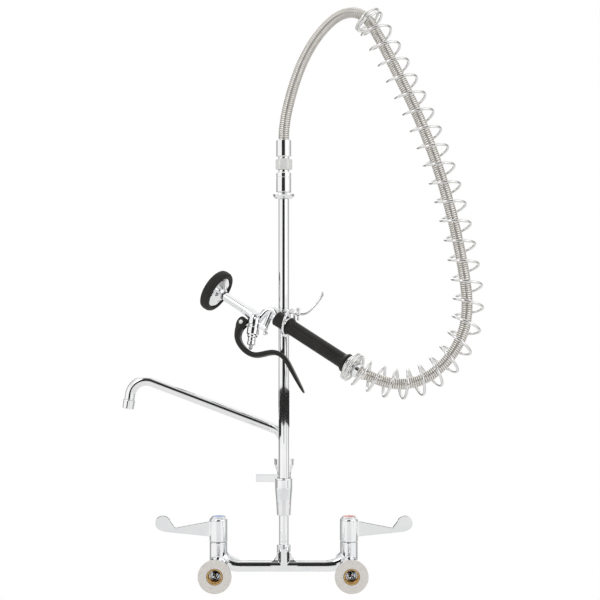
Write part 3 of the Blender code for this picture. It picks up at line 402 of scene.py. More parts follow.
RUBBER = make_material(
    "black_rubber", (0.012, 0.0115, 0.011), (0.022, 0.021, 0.02), (0.5, 0.7), 0.0, (120, 2600),
    0.00003, 0.3
)
WASHER = make_material(
    "grey_fibre", (0.62, 0.59, 0.56), (0.70, 0.675, 0.645), (0.6, 0.8), 0.0, (220, 2400), 0.00004, 0.3
)
BLUE = make_material("cold_blue", (0.14, 0.22, 0.50), (0.22, 0.32, 0.60), (0.2, 0.32), 0.0, (160, 1500))
RED = make_material("hot_red", (0.58, 0.13, 0.11), (0.72, 0.22, 0.19), (0.2, 0.32), 0.0, (160, 1500))
CARD = make_material("black_card", (0.008, 0.008, 0.008), (0.014, 0.013, 0.012), (0.7, 0.9))
FLOOR = make_material("floor", (0.86, 0.86, 0.86), (0.90, 0.90, 0.90), (0.7, 0.85), 0.0, (3, 40))


# ---------------- mesh helpers


def placed(axis=(0, 0, 1), at=(0, 0, 0), up=(1, 0, 0)):
    """A matrix whose local +Z runs along axis, and whose local +X is as near up as it can be."""
    z = Vector(axis).normalized()
    x = Vector(up)
    if abs(x.normalized().dot(z)) > 0.99:
        x = Vector((0, 1, 0))
    x = (x - x.dot(z) * z).normalized()
    turn = Matrix((x, z.cross(x), z)).transposed().to_4x4()
    return Matrix.Translation(at) @ turn


def on_riser(z=0.0):
    return Matrix.Translation((0, RISER_Y, z))


def gun_matrix():
    """The spray valve's frame, in millimetres."""
    level = math.cos(GUN_SWING)
    u = Vector((-math.cos(GUN_SLOPE) * level, math.sin(GUN_SWING), -math.sin(GUN_SLOPE) * level))
    v = Vector((math.sin(GUN_SLOPE), 0, -math.cos(GUN_SLOPE)))
    turn = Matrix((u, v, u.cross(v))).transposed().to_4x4()
    return Matrix.Translation(GUN_ORIGIN) @ turn @ Matrix.Scale(MM, 4)


GUN = gun_matrix()


def in_gun(axis, at, up=(1, 0, 0)):
    """A frame in metres, at a point of the spray valve's frame, with local Z along an axis of it."""
    return GUN @ placed(axis, (*at, 0), up) @ Matrix.Scale(1 / MM, 4)


def along_gun(u=0.0, v=0.0):
    """Local Z along the handle, in metres, from a point of the spray valve's frame."""
    return in_gun((1, 0, 0), (u, v), (0, 1, 0))


def bonnet_frame():
    """Local Z along the valve's own axis, in metres, from the body towards the trigger."""
    return in_gun(BONNET_DIR, BONNET_FOOT, (0, 0, 1))


def add(name, mesh, material=None, matrix=None):
    """A new object whose place is in its mesh."""
    if matrix:
        mesh.transform(matrix)
    if material:
        mesh.materials.clear()
        mesh.materials.append(material)
    obj = bpy.data.objects.new(name, mesh)
    bpy.context.scene.collection.objects.link(obj)
    return obj


def finished(mesh, sharp=35):
    """Welded, faced outwards and shaded smooth between sharp edges."""
    work = bmesh.new()
    work.from_mesh(mesh)
    bmesh.ops.remove_doubles(work, verts=work.verts, dist=1e-7)
    bmesh.ops.dissolve_degenerate(work, edges=work.edges, dist=1e-7)
    bmesh.ops.recalc_face_normals(work, faces=work.faces)
    work.to_mesh(mesh)
    work.free()
    mesh.shade_smooth()
    mesh.set_sharp_from_angle(angle=math.radians(sharp))
    return mesh


def skin(name, rings, material=None, matrix=None, cyclic=False, sharp=35):
    """A closed skin over rings of equal count, capped at both ends unless it is cyclic."""
    count = len(rings[0])
    points = [p for ring in rings for p in ring]
    faces = []
    for i in range(len(rings) - (0 if cyclic else 1)):
        a, b = i * count, (i + 1) % len(rings) * count
        for j in range(count):
            k = (j + 1) % count
            faces.append((a + j, a + k, b + k, b + j))
    if not cyclic:
        faces.append(tuple(range(count))[::-1])
        faces.append(tuple((len(rings) - 1) * count + j for j in range(count)))
    mesh = bpy.data.meshes.new(name)
    mesh.from_pydata(points, [], faces)
    if matrix:
        mesh.transform(matrix)
    return add(name, finished(mesh, sharp), material)


def arc(centre, radius, start, end, steps):
    """Points of a round stretch of a profile, from angle start to end in degrees."""
    found = []
    for i in range(steps + 1):
        a = math.radians(start + (end - start) * i / steps)
        found.append((centre[0] + radius * math.cos(a), centre[1] + radius * math.sin(a)))
    return found


def rounded(profile, radius, closed):
    """The profile with a short curve in place of each corner."""
    points = [Vector(p) for p in profile]
    found = []
    for i, p in enumerate(points):
        before, after = points[i - 1] - p, points[(i + 1) % len(points)] - p
        end = not closed and i in (0, len(points) - 1)
        turn = 0 if end else before.angle(-after)
        if turn < math.radians(9):
            found.append(p)
            continue
        reach = min(radius * math.tan(min(turn, 2.2) / 2), 0.46 * before.length, 0.46 * after.length)
        start, stop = p + before.normalized() * reach, p + after.normalized() * reach
        for t in (0, 0.25, 0.5, 0.75, 1):
            found.append((1 - t) ** 2 * start + 2 * t * (1 - t) * p + t * t * stop)
    return found


def supported(line, longest, near, closed=False):
    """The line with a point close to each end of every long stretch, which keeps its shading flat."""
    found = []
    ends = list(zip(line, line[1:]))
    if closed:
        ends.append((line[-1], line[0]))
    for a, b in ends:
        found.append(a)
        length = (b - a).length
        if length > longest:
            found += [a.lerp(b, near / length), b.lerp(a, near / length)]
    return found if closed else [*found, line[-1]]


def turned(name, profile, material=None, matrix=None, soft=0.4, ring=False, around=72):
    """A profile in millimetres, turned about local Z, with its corners softened."""
    line = rounded(profile, soft, ring) if soft else [Vector(p) for p in profile]
    line = supported(line, 2.5, 0.15, ring)
    turns = [2 * PI * j / around for j in range(around)]
    rings = [[(MM * r * math.cos(t), MM * r * math.sin(t), MM * z) for t in turns] for r, z in line]
    return skin(name, rings, material, matrix, ring)


def drill(radius, start, end, matrix, around=72):
    """A plain round cutter from height to height, in millimetres, about local Z."""
    profile = [(0, start), (radius, start), (radius, end), (0, end)]
    return turned("cutter", profile, None, matrix, 0, around=around)


def smooth_line(route, step):
    """Points evenly spaced along the smooth curve through the route's points."""
    knots = [Vector(p) for p in route]
    padded = [2 * knots[0] - knots[1], *knots, 2 * knots[-1] - knots[-2]]
    fine = []
    for a, b, c, d in zip(padded, padded[1:], padded[2:], padded[3:]):
        for i in range(12):
            t = i / 12
            square, cube = 2 * a - 5 * b + 4 * c - d, 3 * b - 3 * c + d - a
            fine.append(0.5 * (2 * b + (c - a) * t + square * t**2 + cube * t**3))
    fine.append(knots[-1])
    along = lengths_along(fine)
    count = max(2, round(along[-1] / step))
    found, k = [], 0
    for i in range(count + 1):
        target = along[-1] * i / count
        while k < len(fine) - 2 and along[k + 1] < target:
            k += 1
        span = max(along[k + 1] - along[k], 1e-9)
        found.append(fine[k].lerp(fine[k + 1], (target - along[k]) / span))
    return found


def lengths_along(line):
    along = [0.0]
    for a, b in zip(line, line[1:]):
        along.append(along[-1] + (b - a).length)
    return along


def frames_along(line):
    """At each point of a line, two directions square to it that don't twist along it."""
    side = Vector((0, 1, 0))
    found = []
    for i in range(len(line)):
        ahead = (line[min(i + 1, len(line) - 1)] - line[max(i - 1, 0)]).normalized()
        side = (side - side.dot(ahead) * ahead).normalized()
        found.append((side.copy(), ahead.cross(side)))
    return found


def round_ring(centre, a, b, radius, sides):
    """Points of a circle, from two directions square to its axis."""
    turns = [2 * PI * j / sides for j in range(sides)]
    return [centre + radius * (math.cos(t) * a + math.sin(t) * b) for t in turns]


def swept(name, line, radii, material=None, matrix=None, sides=40):
    """A round bar along a line, of one radius or of one for each point."""
    if isinstance(radii, float):
        radii = [radii] * len(line)
    rings = []
    for point, (a, b), radius in zip(line, frames_along(line), radii):
        rings.append(round_ring(point, a, b, radius, sides))
    return skin(name, rings, material, matrix)


def pipe(name, line, outer, wall, material, matrix=None, sides=56):
    """A hollow tube along a line, open at both ends, with eased rims."""
    ease = 0.2 * wall
    line = supported(line, 0.004, 0.0004)
    frames = frames_along(line)
    rings = []
    stations = [(0, outer - ease), *((i, outer) for i in range(len(line))), (-1, outer - ease)]
    stations += [(i, outer - wall) for i in reversed(range(len(line)))]
    for i, radius in stations:
        rings.append(round_ring(line[i], *frames[i], radius, sides))
    return skin(name, rings, material, matrix, cyclic=True)


def block(name, low, high, matrix=None):
    """A box with eased edges, from corner to corner."""
    work = bmesh.new()
    bmesh.ops.create_cube(work, size=1)
    bmesh.ops.scale(work, vec=[b - a for a, b in zip(low, high)], verts=work.verts)
    bmesh.ops.translate(work, vec=[(a + b) / 2 for a, b in zip(low, high)], verts=work.verts)
    mesh = bpy.data.meshes.new(name)
    work.to_mesh(mesh)
    work.free()
    return add(name, mesh, None, matrix)


def applied(obj):
    """The object with its modifiers applied."""
    graph = bpy.context.evaluated_depsgraph_get()
    graph.update()
    mesh = bpy.data.meshes.new_from_object(obj.evaluated_get(graph))
    obj.modifiers.clear()
    obj.data = mesh
    return obj


def joined(name, objects):
    """Separate closed shapes as one object."""
    work = bmesh.new()
    for obj in objects:
        work.from_mesh(obj.data)
        bpy.data.objects.remove(obj)
    mesh = bpy.data.meshes.new(name)
    work.to_mesh(mesh)
    work.free()
    return add(name, mesh)


def cast(name, parts, voxel, passes, material):
    """One casting: the parts grown together, with every inner corner filleted."""
    obj = joined(name, parts)
    remesh = obj.modifiers.new("grow", "REMESH")
    remesh.mode = "VOXEL"
    remesh.voxel_size = voxel
    ease = obj.modifiers.new("ease", "SMOOTH")
    ease.factor = 0.5
    ease.iterations = passes
    applied(obj)
    obj.data.materials.clear()
    obj.data.materials.append(material)
    obj.data.shade_smooth()
    return obj


def cut(obj, *cutters):
    """The object less each cutter."""
    for cutter in cutters:
        step = obj.modifiers.new("cut", "BOOLEAN")
        step.operation = "DIFFERENCE"
        step.solver = "EXACT"
        step.object = cutter
        applied(obj)
        bpy.data.objects.remove(cutter)
    obj.data.shade_smooth()
    obj.data.set_sharp_from_angle(angle=math.radians(40))
    return obj


NODE_BODY = {n: body for body, nodes in frame["record"]["behaviour"]["bodies"].items() for n in nodes}


def stands_for(piece, node):
    """The piece shows in place of a CAD node: it rides on the node's body, and the node is hidden."""
    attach(piece, NODE_BODY[node])
    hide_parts(node)
    return piece


# ---------------- hose and its spring


def hose_line(step):
    """The hose's centreline: its route, then straight into the ferrule on the handle."""
    into_handle = [GUN @ Vector((u, 0, 0)) for u in HOSE_LAST_U]
    return smooth_line([*HOSE_ROUTE, *into_handle], step)


def make_hose():
    """Strip-wound hose: a row of rounded ridges, each with a narrow groove after it."""
    falling = [(0.0, 1.0), (0.09, 0.6), (0.2, 0.26), (0.34, 0.06), (0.5, 0.0)]
    shape = falling + [(0.66, 0.06), (0.8, 0.26), (0.91, 0.6)]
    coarse = hose_line(HOSE_RIDGE_PITCH)
    sides = 30
    rings = []
    frames = frames_along(coarse)
    for i in range(len(coarse) - 1):
        for share, depth in shape:
            point = coarse[i].lerp(coarse[i + 1], share)
            a = frames[i][0].lerp(frames[i + 1][0], share).normalized()
            b = frames[i][1].lerp(frames[i + 1][1], share).normalized()
            rings.append(round_ring(point, a, b, HOSE_R - HOSE_RIDGE_DEPTH * depth, sides))
    hose = skin("strip_wound_hose", rings, STRIP, sharp=50)
    stands_for(hose, "hose")
    return hose, coarse


def coil_pitch(share):
    """The spring's pitch at a share of its open length: wide down the long run, close at its ends."""
    for (low, before), (high, after) in zip(COIL_PITCHES, COIL_PITCHES[1:]):
        if share <= high:
            return before + (after - before) * (share - low) / (high - low)
    return COIL_PITCHES[-1][1]


def coil_heights(length, per_turn):
    """Lengths from the spring's top end, one for each point of its wire."""
    close = COIL_CLOSE_PITCH / per_turn
    closed = COIL_CLOSE_TURNS * COIL_CLOSE_PITCH
    heights = [i * close for i in range(COIL_CLOSE_TURNS * per_turn)]
    s = closed
    while s < length - closed:
        heights.append(s)
        s += coil_pitch((s - closed) / (length - 2 * closed)) / per_turn
    heights += [s + i * close for i in range(COIL_CLOSE_TURNS * per_turn + 1)]
    return heights


def make_hose_spring():
    """Open coils about the hose, with closed turns at both ends."""
    line = hose_line(HOSE_R) + [GUN @ Vector((COIL_END_U, 0, 0))]
    per_turn = 32
    along = lengths_along(line)
    frames = frames_along(line)
    length = along[-1] - COIL_END_GAP - COIL_START
    points, k = [], 0
    for i, height in enumerate(coil_heights(length, per_turn)):
        s = COIL_START + height
        while k < len(line) - 2 and along[k + 1] < s:
            k += 1
        f = (s - along[k]) / (along[k + 1] - along[k])
        a = frames[k][0].lerp(frames[k + 1][0], f).normalized()
        b = frames[k][1].lerp(frames[k + 1][1], f).normalized()
        angle = COIL_PHASE - 2 * PI * i / per_turn
        lean = Vector((-COIL_LEAN * math.sin(PI * min(1, height / length / 0.85)), 0, 0))
        out = math.cos(angle) * a + math.sin(angle) * b
        points.append(line[k].lerp(line[k + 1], f) + lean + COIL_R * out)
    spring = swept("hose_coil", points, COIL_WIRE_R, WIRE, None, 16)
    stands_for(spring, "hose_spring")
    return spring


# ---------------- bridge and inlets


def make_bridge():
    bend_x, bend_z, tube_r = 0.037, 0.024, 0.0103
    line, radii = [], []
    for i in range(25):
        a = PI / 2 * i / 24
        x = HUB_X - bend_x * (1 - math.cos(a))
        z = -0.0025 + bend_z * (1 - math.sin(a))
        line.append(Vector((x, RISER_Y, z)))
        radii.append(0.0138 + (tube_r - 0.0138) * i / 24)
    line += [Vector((-p.x, p.y, p.z)) for p in reversed(line)]
    radii += radii[::-1]
    parts = [swept("bridge", line, radii, None, None, 56)]
    for side in (COLD, HOT):
        at = (side * HUB_X, RISER_Y, 0)
        tower = [(0, 34.7), (14.2, 34.7), *arc((0, 0), 14.2, 0, -90, 16)]
        parts.append(turned("tower", tower, None, Matrix.Translation(at), 0.3))
        barrel = [(0, 81.7), (13.5, 81.7), (13.5, 0), (0, 0)]
        parts.append(turned("barrel", barrel, None, placed((0, 1, 0), at), 0.3))
    boss = [(0, 29.7), (11.1, 29.7), (11.1, 0), (8.5, -8), (0, -8)]
    parts.append(turned("boss", boss, None, on_riser(), 0.4))
    flare = []
    for i in range(17):
        a = PI / 2 * i / 16
        flare.append((0.0190 - 0.0085 * math.sin(a), 0.0185 - 0.0125 * math.cos(a)))
    outline = flare + [(-x, z) for x, z in reversed(flare)]
    outline += [(-0.0160, -0.0040), (0.0160, -0.0040)]
    web = [[Vector((x, RISER_Y + y, z)) for x, z in outline] for y in (-0.0072, 0.0072)]
    parts.append(skin("web", web))
    body = cast("bridge_casting", parts, 0.0007, 9, CAST_CHROME)
    bore = drill(8.05, 45, 12, on_riser())
    at_grub = placed((0, 1, 0), (0, RISER_Y, 0.0258))
    grub_way = drill(2.2, 14, 6, at_grub, 32)
    way = [(0, 81.9), (7.2, 81.9), (7.2, 38.0), (0, 30.0)]
    inlets = [placed((0, 1, 0), (side * HUB_X, RISER_Y, 0)) for side in (COLD, HOT)]
    ways = [turned("way", way, None, inlet, 0) for inlet in inlets]
    cut(body, bore, grub_way, *ways)
    stands_for(body, "bridge_body")
    grub = [(0, 10.8), (1.0, 10.8), (1.0, 12.9), (1.8, 12.9), (1.8, 8.2), (0, 8.2)]
    screw = turned("grub_screw", grub, STEEL, at_grub, 0.15, around=32)
    stands_for(screw, "stem_grub_screw")


def thread_profile():
    """A G 1/2 female thread: 14 to the inch, cut outwards from the bore."""
    pitch, bore, root = 25.4 / 14, 9.5, 10.4
    found = []
    z = -16.6
    while z < -2.6:
        found += [(bore, z), (bore, z + 0.25), (root, z + pitch / 2), (root, z + pitch / 2 + 0.25)]
        z += pitch
    return found


def make_inlet(side):
    word = WORDS[side]
    here = placed((0, 1, 0), (side * HUB_X, 0, 0))
    washer = [(12.3, 0), (25.1, 0), (25.1, -3), (12.3, -3)]
    stands_for(turned("fibre_washer_" + word, washer, WASHER, here, 0.5, True, 96), "wall_washer_" + word)
    flange = [
        (12.3, -3.3), (24.7, -3.3), (24.7, -7.3), (21.7, -8.5), (18.0, -9.8), (17.2, -25.2),
        (16.4, -26.0), (7.4, -26.0), (7.4, -22.2), (12.3, -22.2),
    ]
    stands_for(turned("flange_" + word, flange, CHROME, here, 0.9, True, 96), "wall_flange_" + word)
    bush = [(9.5, -2.2), (10.2, -0.8), (11.4, -0.8), (12.0, -1.4), (12.0, -21.9), (9.5, -21.9)]
    bush += thread_profile()
    stands_for(turned("threaded_bush_" + word, bush, BRASS, here, 0.12, True, 72), "inlet_bush_" + word)


# ---------------- wrist levers


def make_wrist_lever(side):
    """One casting: the hub, and the tapered blade with its notch and round tip."""
    word = WORDS[side]
    here = Matrix.Translation((side * HUB_X, RISER_Y, 0))
    hub = [
        (0, 73.5), (10.7, 73.5), *arc((10.5, 67.5), 4.0, 66, 0, 12), (14.5, 35.6), (13.9, 35.0),
        (0, 35.0),
    ]
    outline = [(0.0090, 0.0672), (0.0676, 0.0560)]
    outline += arc((0.0869, 0.0629), 0.0120, 165, -70, 40)
    outline += [(0.0835, 0.0493), (0.0090, 0.0417)]
    blade = [[Vector((side * x, y, z)) for x, z in outline] for y in (-0.0026, 0.0026)]
    parts = [turned("hub", hub, None, here, 0.3), skin("blade", blade, None, here)]
    lever = cast("lever_" + word, parts, 0.0005, 6, CAST_CHROME)
    recess = [(0, 90), (10.0, 90), (10.0, 70.9), (0, 70.9)]
    cavity = [(0, 55.6), (4.3, 55.6), (4.3, 45.0), (11.0, 44.6), (11.0, 30.0), (0, 30.0)]
    bore = [(0, 75), (4.3, 75), (4.3, 64.0), (2.3, 64.0), (2.3, 50), (0, 50)]
    cut(lever, *(turned("cutter", p, None, here, 0, around=64) for p in (recess, cavity, bore)))
    stands_for(lever, "wrist_lever_" + word)
    cap = [(0, 74.6), (6.0, 74.3), (9.3, 73.6), (9.7, 73.0), (9.7, 71.2), (0, 71.2)]
    colour = BLUE if side == COLD else RED
    stands_for(turned("index_" + word, cap, colour, here, 0.4), "index_cap_" + word)


# ---------------- stem, tee and spout


def make_tee():
    stem = [(6.3, 88.0), (7.75, 88.0), (7.75, 12.3), (6.3, 12.3)]
    stands_for(turned("stem", stem, CHROME, on_riser(), 0.2, True), "stem_tube")
    forward = placed((0, -1, 0), (0, RISER_Y, ARM_Z))
    at_spout = Matrix.Translation((0, SPOUT_Y, 0))
    outside = [
        (0, 133.1), (13.2, 133.1), (14.0, 132.3), (14.0, 118.0), (12.4, 100.0), (11.0, 75.7),
        (10.2, 74.9), (0, 74.9),
    ]
    arm = [(0, 45.0), (9.2, 45.0), (9.2, 0), (0, 0)]
    chest = [(0, 60.0), (10.0, 60.0), (10.0, 42.0), (0, 42.0)]
    socket = [
        (0, 150.0), (10.0, 150.0), (10.6, 149.4), (10.6, 136.8), (11.3, 136.8), (11.3, 116.0),
        (8.5, 111.0), (0, 109.5),
    ]
    parts = [
        turned("cone", outside, None, on_riser(), 0.4),
        turned("arm", arm, None, forward, 0),
        turned("chest", chest, None, forward, 0.3),
        turned("socket", socket, None, at_spout, 0.2),
    ]
    tee = cast("tee_casting", parts, 0.0006, 7, CAST_CHROME)
    cutters = [
        drill(9.7, 150, 118, on_riser()),
        drill(8.05, 88.3, 70, on_riser()),
        drill(8.55, 160, 133, at_spout),
        drill(6.6, 70, 45, forward),
    ]
    cut(tee, *cutters)
    stands_for(tee, "tee_body")
    nut = [
        (8.55, 159.0), (15.0, 159.0), (16.0, 158.0), (16.0, 149.0), (15.0, 147.8), (11.8, 138.4),
        (11.6, 137.1), (10.9, 137.1), (10.9, 154.5), (8.55, 154.5),
    ]
    stands_for(turned("swivel_nut", nut, CHROME, at_spout, 1.6, True, 96), "spout_nut")
    gland = [
        (3.6, 65.5), (7.6, 65.5), (8.2, 64.9), (8.2, 60.3), (6.3, 60.3), (6.3, 45.5), (3.6, 45.5),
    ]
    stands_for(turned("gland", gland, BRASS, forward, 0.2, True), "spout_valve_gland")
    hub = [(0, 77.0), (6.2, 77.0), (7.2, 76.0), (7.2, 65.8), (0, 65.8)]
    bar = block("bar", (0, -0.0722, -0.0061), (0.0458, -0.0672, 0.0061), on_riser(ARM_Z))
    lever = cast("valve_lever", [turned("hub", hub, None, forward, 0.3), bar], 0.0004, 5, CAST_CHROME)
    cut(lever, drill(3.5, 74.8, 60, forward))
    stands_for(lever, "spout_valve_lever")


def spout_line():
    """Up from the swivel, out along the sloping run, over and down to the nozzle."""
    radius, rise, knee_z, reach = 0.026, math.radians(20.9), 0.2004, 0.2099

    def bend(start, heading, turn, steps):
        side = 1 if turn > 0 else -1
        centre = start + radius * side * Vector((-math.sin(heading), math.cos(heading)))
        found = []
        for i in range(1, steps + 1):
            h = heading + turn * i / steps
            found.append(centre + radius * side * Vector((math.sin(h), -math.cos(h))))
        return found

    turn_out = -(PI / 2 - rise)
    start = Vector((0, knee_z - radius * math.tan(-turn_out / 2)))
    flat = [Vector((0, 0.1335)), start, *bend(start, PI / 2, turn_out, 28)]
    run_end = Vector((reach, knee_z + reach * math.tan(rise)))
    flat.append(run_end)
    down = -PI / 2 + math.radians(8.0)
    flat += bend(run_end, rise, down - rise, 40)
    heading = Vector((math.cos(down), math.sin(down)))
    mouth = flat[-1] + 0.0074 * heading
    flat.append(mouth)
    return [Vector((p.x, 0, p.y)) for p in flat], mouth, heading


def make_spout():
    line, mouth, heading = spout_line()
    at_spout = Matrix.Translation((0, SPOUT_Y, 0))
    stands_for(pipe("spout", line, 0.00825, 0.0013, CHROME, at_spout), "spout_tube")
    here = placed((heading.x, 0, heading.y), (mouth.x, SPOUT_Y, mouth.y))
    shell = [
        (8.0, 15.0), (8.8, 15.0), (9.3, 14.4), (9.6, 1.6), (9.0, 0.3), (6.0, 0.3), (6.0, 5.0),
        (8.0, 6.0),
    ]
    stands_for(turned("nozzle", shell, CHROME, here, 0.35, True), "spout_nozzle")
    plate = [(0, 13.5), (7.7, 13.5), (7.7, 7.2), (0, 7.2)]
    disc = turned("strainer", plate, STEEL, here, 0.3)
    holes = []
    for ring_r, count in ((0.0022, 6), (0.0044, 12), (0.0063, 16)):
        for i in range(count):
            a = 2 * PI * i / count
            at = here @ Matrix.Translation((ring_r * math.cos(a), ring_r * math.sin(a), 0))
            hole = [(0, 15), (0.55, 15), (0.55, 12.3), (0, 12.3)]
            holes.append(turned("hole", hole, None, at, 0, around=12))
    cut(disc, joined("holes", holes))
    stands_for(disc, "nozzle_strainer")


# ---------------- riser and its top


def make_riser():
    here = on_riser()
    pipe_shape = [(7.25, 567.2), (8.55, 567.2), (8.55, 118.5), (7.25, 118.5)]
    stands_for(turned("riser", pipe_shape, CHROME, here, 0.2, True, 96), "riser_pipe")
    seat = [(7.0, 577.5), (12.6, 577.5), (17.2, 575.0), (17.4, 573.8), (16.4, 571.2)]
    seat += [(11.8, 567.5), (7.0, 567.5)]
    stands_for(turned("seat_cone", seat, CHROME, here, 0.5, True, 96), "spring_seat")
    sleeve = [
        (7.0, 612.8), (8.6, 612.8), (8.6, 608.8), (11.2, 608.8), (12.1, 607.6), (12.1, 602.0),
        (11.7, 601.6), (11.7, 600.6), (12.1, 600.2), (12.1, 579.0), (11.7, 577.8), (7.0, 577.8),
    ]
    stands_for(turned("sleeve", sleeve, CHROME, here, 0.25, True, 96), "hose_adaptor")
    make_union_nut(here)
    ferrule = [
        (8.9, 659.4), (11.4, 659.4), (12.1, 658.7), (12.1, 634.2), (11.2, 633.2), (8.8, 633.2),
        (8.8, 630.0), (7.0, 630.0), (7.0, 650.0), (8.9, 650.0),
    ]
    stands_for(turned("top_ferrule", ferrule, CHROME, here, 0.5, True, 96), "hose_top_ferrule")


def make_union_nut(here):
    """A hexagon with its corners turned off."""
    flats, bottom, top = 23.2, 613.1, 629.7
    corner = flats / math.sqrt(3)
    rings = []
    stations = [(bottom, 1.0), (bottom + 0.6, 0.35), (bottom + 1.5, 0.0)]
    stations += [(top - 1.5, 0.0), (top - 0.6, 0.35), (top, 1.0)]
    around = 96
    for z, less in stations:
        ring = []
        for j in range(around):
            a = 2 * PI * j / around
            to_flat = (a + PI / 6) % (PI / 3) - PI / 6
            hexagon = flats / 2 / math.cos(to_flat)
            r = min(hexagon, corner - 0.35 - less * (corner - flats / 2))
            ring.append((MM * r * math.sin(a), MM * r * math.cos(a), MM * z))
        rings.append(ring)
    nut = skin("union_nut", rings, SATIN, here, sharp=18)
    cut(nut, drill(7.0, 640, 600, here))
    nut.data.set_sharp_from_angle(angle=math.radians(18))
    stands_for(nut, "hose_union_nut")


# ---------------- spray valve


def make_handle():
    here = along_gun()
    shapes = {
        "handle_grip": ("grip", MOULDING, 0.8, [
            (9.8, 120.0), (14.6, 120.0), (15.1, 119.2), (15.1, 116.2), (13.2, 113.8), (11.7, 111.5),
            (11.5, 105.0), (11.5, 22.0), (11.6, 14.4), (13.0, 12.4), (13.7, 10.8), (13.7, 7.2),
            (12.8, 6.2), (9.8, 6.2),
        ]),
        "front_collar": ("collar", MOULDING, 0.7, [
            (9.8, 1.2), (10.8, 1.2), (11.5, 0.2), (11.8, -14.5), (10.8, -15.7), (9.8, -15.7),
        ]),
        "handle_tube": ("inner_tube", CHROME, 0.15, [
            (8.0, 123.2), (9.5, 123.2), (9.5, -12.0), (8.0, -12.0),
        ]),
        "handle_nut": ("end_nut", CHROME, 0.5, [
            (7.8, 129.0), (11.8, 129.0), (13.6, 127.2), (14.1, 124.0), (14.1, 120.3), (9.8, 120.3),
            (9.8, 123.6), (7.8, 123.6),
        ]),
        "hose_end_ferrule": ("end_ferrule", CHROME, 0.4, [
            (8.9, 144.0), (10.8, 144.0), (11.4, 143.2), (11.4, 129.3), (7.8, 129.3), (7.8, 131.8),
            (8.9, 131.8),
        ]),
    }
    for node, (name, material, soft, profile) in shapes.items():
        stands_for(turned(name, profile, material, here, soft, True, 96), node)


def gun_rod(name, route, radii, step=0.8):
    """A round bar in the spray valve's frame, through points with a radius at each."""
    line = smooth_line([Vector((*p, 0)) for p in route], step)
    known = lengths_along([Vector((*p, 0)) for p in route])
    along = lengths_along(line)
    found, k = [], 0
    for s in along:
        s *= known[-1] / along[-1]
        while k < len(known) - 2 and known[k + 1] < s:
            k += 1
        t = (s - known[k]) / (known[k + 1] - known[k])
        found.append(radii[k] + (radii[k + 1] - radii[k]) * t)
    return swept(name, line, found, None, GUN, 40)


def make_spray_body():
    """The casting: front socket, valve chamber, arch to the handle, strut and pivot lug."""
    valve_axis = bonnet_frame()
    chamber = [(0, 1.2), (10.2, 1.2), *arc((0, -11.0), 10.2, 0, -90, 16)]
    spigot = [(0, -4.0), (7.5, -4.0), (7.5, -20.5), (0, -20.5)]
    ear = []
    for c in (-3.2, 3.2):
        ring = [Vector((-42.0, 12.0, c)), Vector((-42.0, 26.0, c))]
        ring += [Vector((x, y, c)) for x, y in arc(PIVOT, 6.2, 40, 220, 24)]
        ear.append(ring)
    parts = [
        gun_rod(
            "front",
            [(-69.0, HEAD_V), (-60.0, HEAD_V), (-53.0, 16.0), (-46.5, 17.2), (-41.0, 19.0)],
            [7.9, 8.2, 8.8, 9.6, 10.2],
        ),
        turned("chamber", chamber, None, valve_axis, 0.3),
        gun_rod(
            "arch",
            [(-38.5, 18.0), (-37.2, 8.0), (-34.5, -1.5), (-28.5, -6.8), (-21.5, -6.4), (-16.0, -2.5)],
            [5.6] * 6,
        ),
        turned("spigot", spigot, None, along_gun(), 0.3),
        gun_rod("strut", [(-27.6, -3.0), (-25.0, 12.0), (-22.1, 27.0)], [4.4] * 3),
        block("foot", (-38.0, 20.5, -5.0), (-18.5, 26.8, 5.0), GUN),
        skin("lug", ear, None, GUN),
    ]
    body = cast("valve_casting", parts, 0.00045, 7, CAST_CHROME)
    at_pivot = in_gun((0, 0, 1), PIVOT)
    flow_axis = in_gun((0.80, 0.60, 0), (-21.5, 26.2))
    cutters = [
        drill(10.3, 30, 0, valve_axis),
        drill(6.4, 10, -14.5, valve_axis),
        drill(2.3, 8, -8, at_pivot, 40),
        drill(5, -55, -72, along_gun(0, HEAD_V)),
        drill(2.3, 10, 0, flow_axis, 40),
    ]
    cut(body, *cutters)
    stands_for(body, "spray_body")
    flow = [(0, 7.8), (3.0, 7.6), (3.6, 6.6), (3.6, 4.6), (2.0, 4.6), (2.0, 0.6), (0, 0.6)]
    screw = turned("flow_adjuster", flow, CHROME, flow_axis, 0.2, around=48)
    slot = block("slot", (-0.004, -0.0004, 0.0070), (0.004, 0.0004, 0.0090), flow_axis)
    stands_for(cut(screw, slot), "flow_screw")


def make_valve():
    here = bonnet_frame()
    bonnet = [
        (3.6, 32.5), (5.6, 32.5), (6.4, 31.7), (6.4, 27.0), (6.0, 26.6), (6.0, 25.8), (6.4, 25.4),
        (6.4, 21.0), (7.8, 19.6), (7.8, 17.0), (9.6, 15.2), (9.8, 5.0), (9.0, 4.0), (9.0, 0.3),
        (6.0, 0.3), (6.0, 20.0), (3.6, 22.0),
    ]
    stands_for(turned("bonnet", bonnet, CHROME, here, 0.25, True, 96), "bonnet_nut")
    reach = 32.5 + 7.2
    stem = [
        (0, reach), (1.5, reach - 0.3), (2.6, reach - 1.2), (3.0, reach - 2.4), (3.0, 19.7),
        (5.0, 19.7), (5.0, 18.9), (3.0, 18.9), (3.0, -4.0), (0, -4.0),
    ]
    stands_for(turned("plunger", stem, STEEL, here, 0.2, around=48), "plunger_stem")


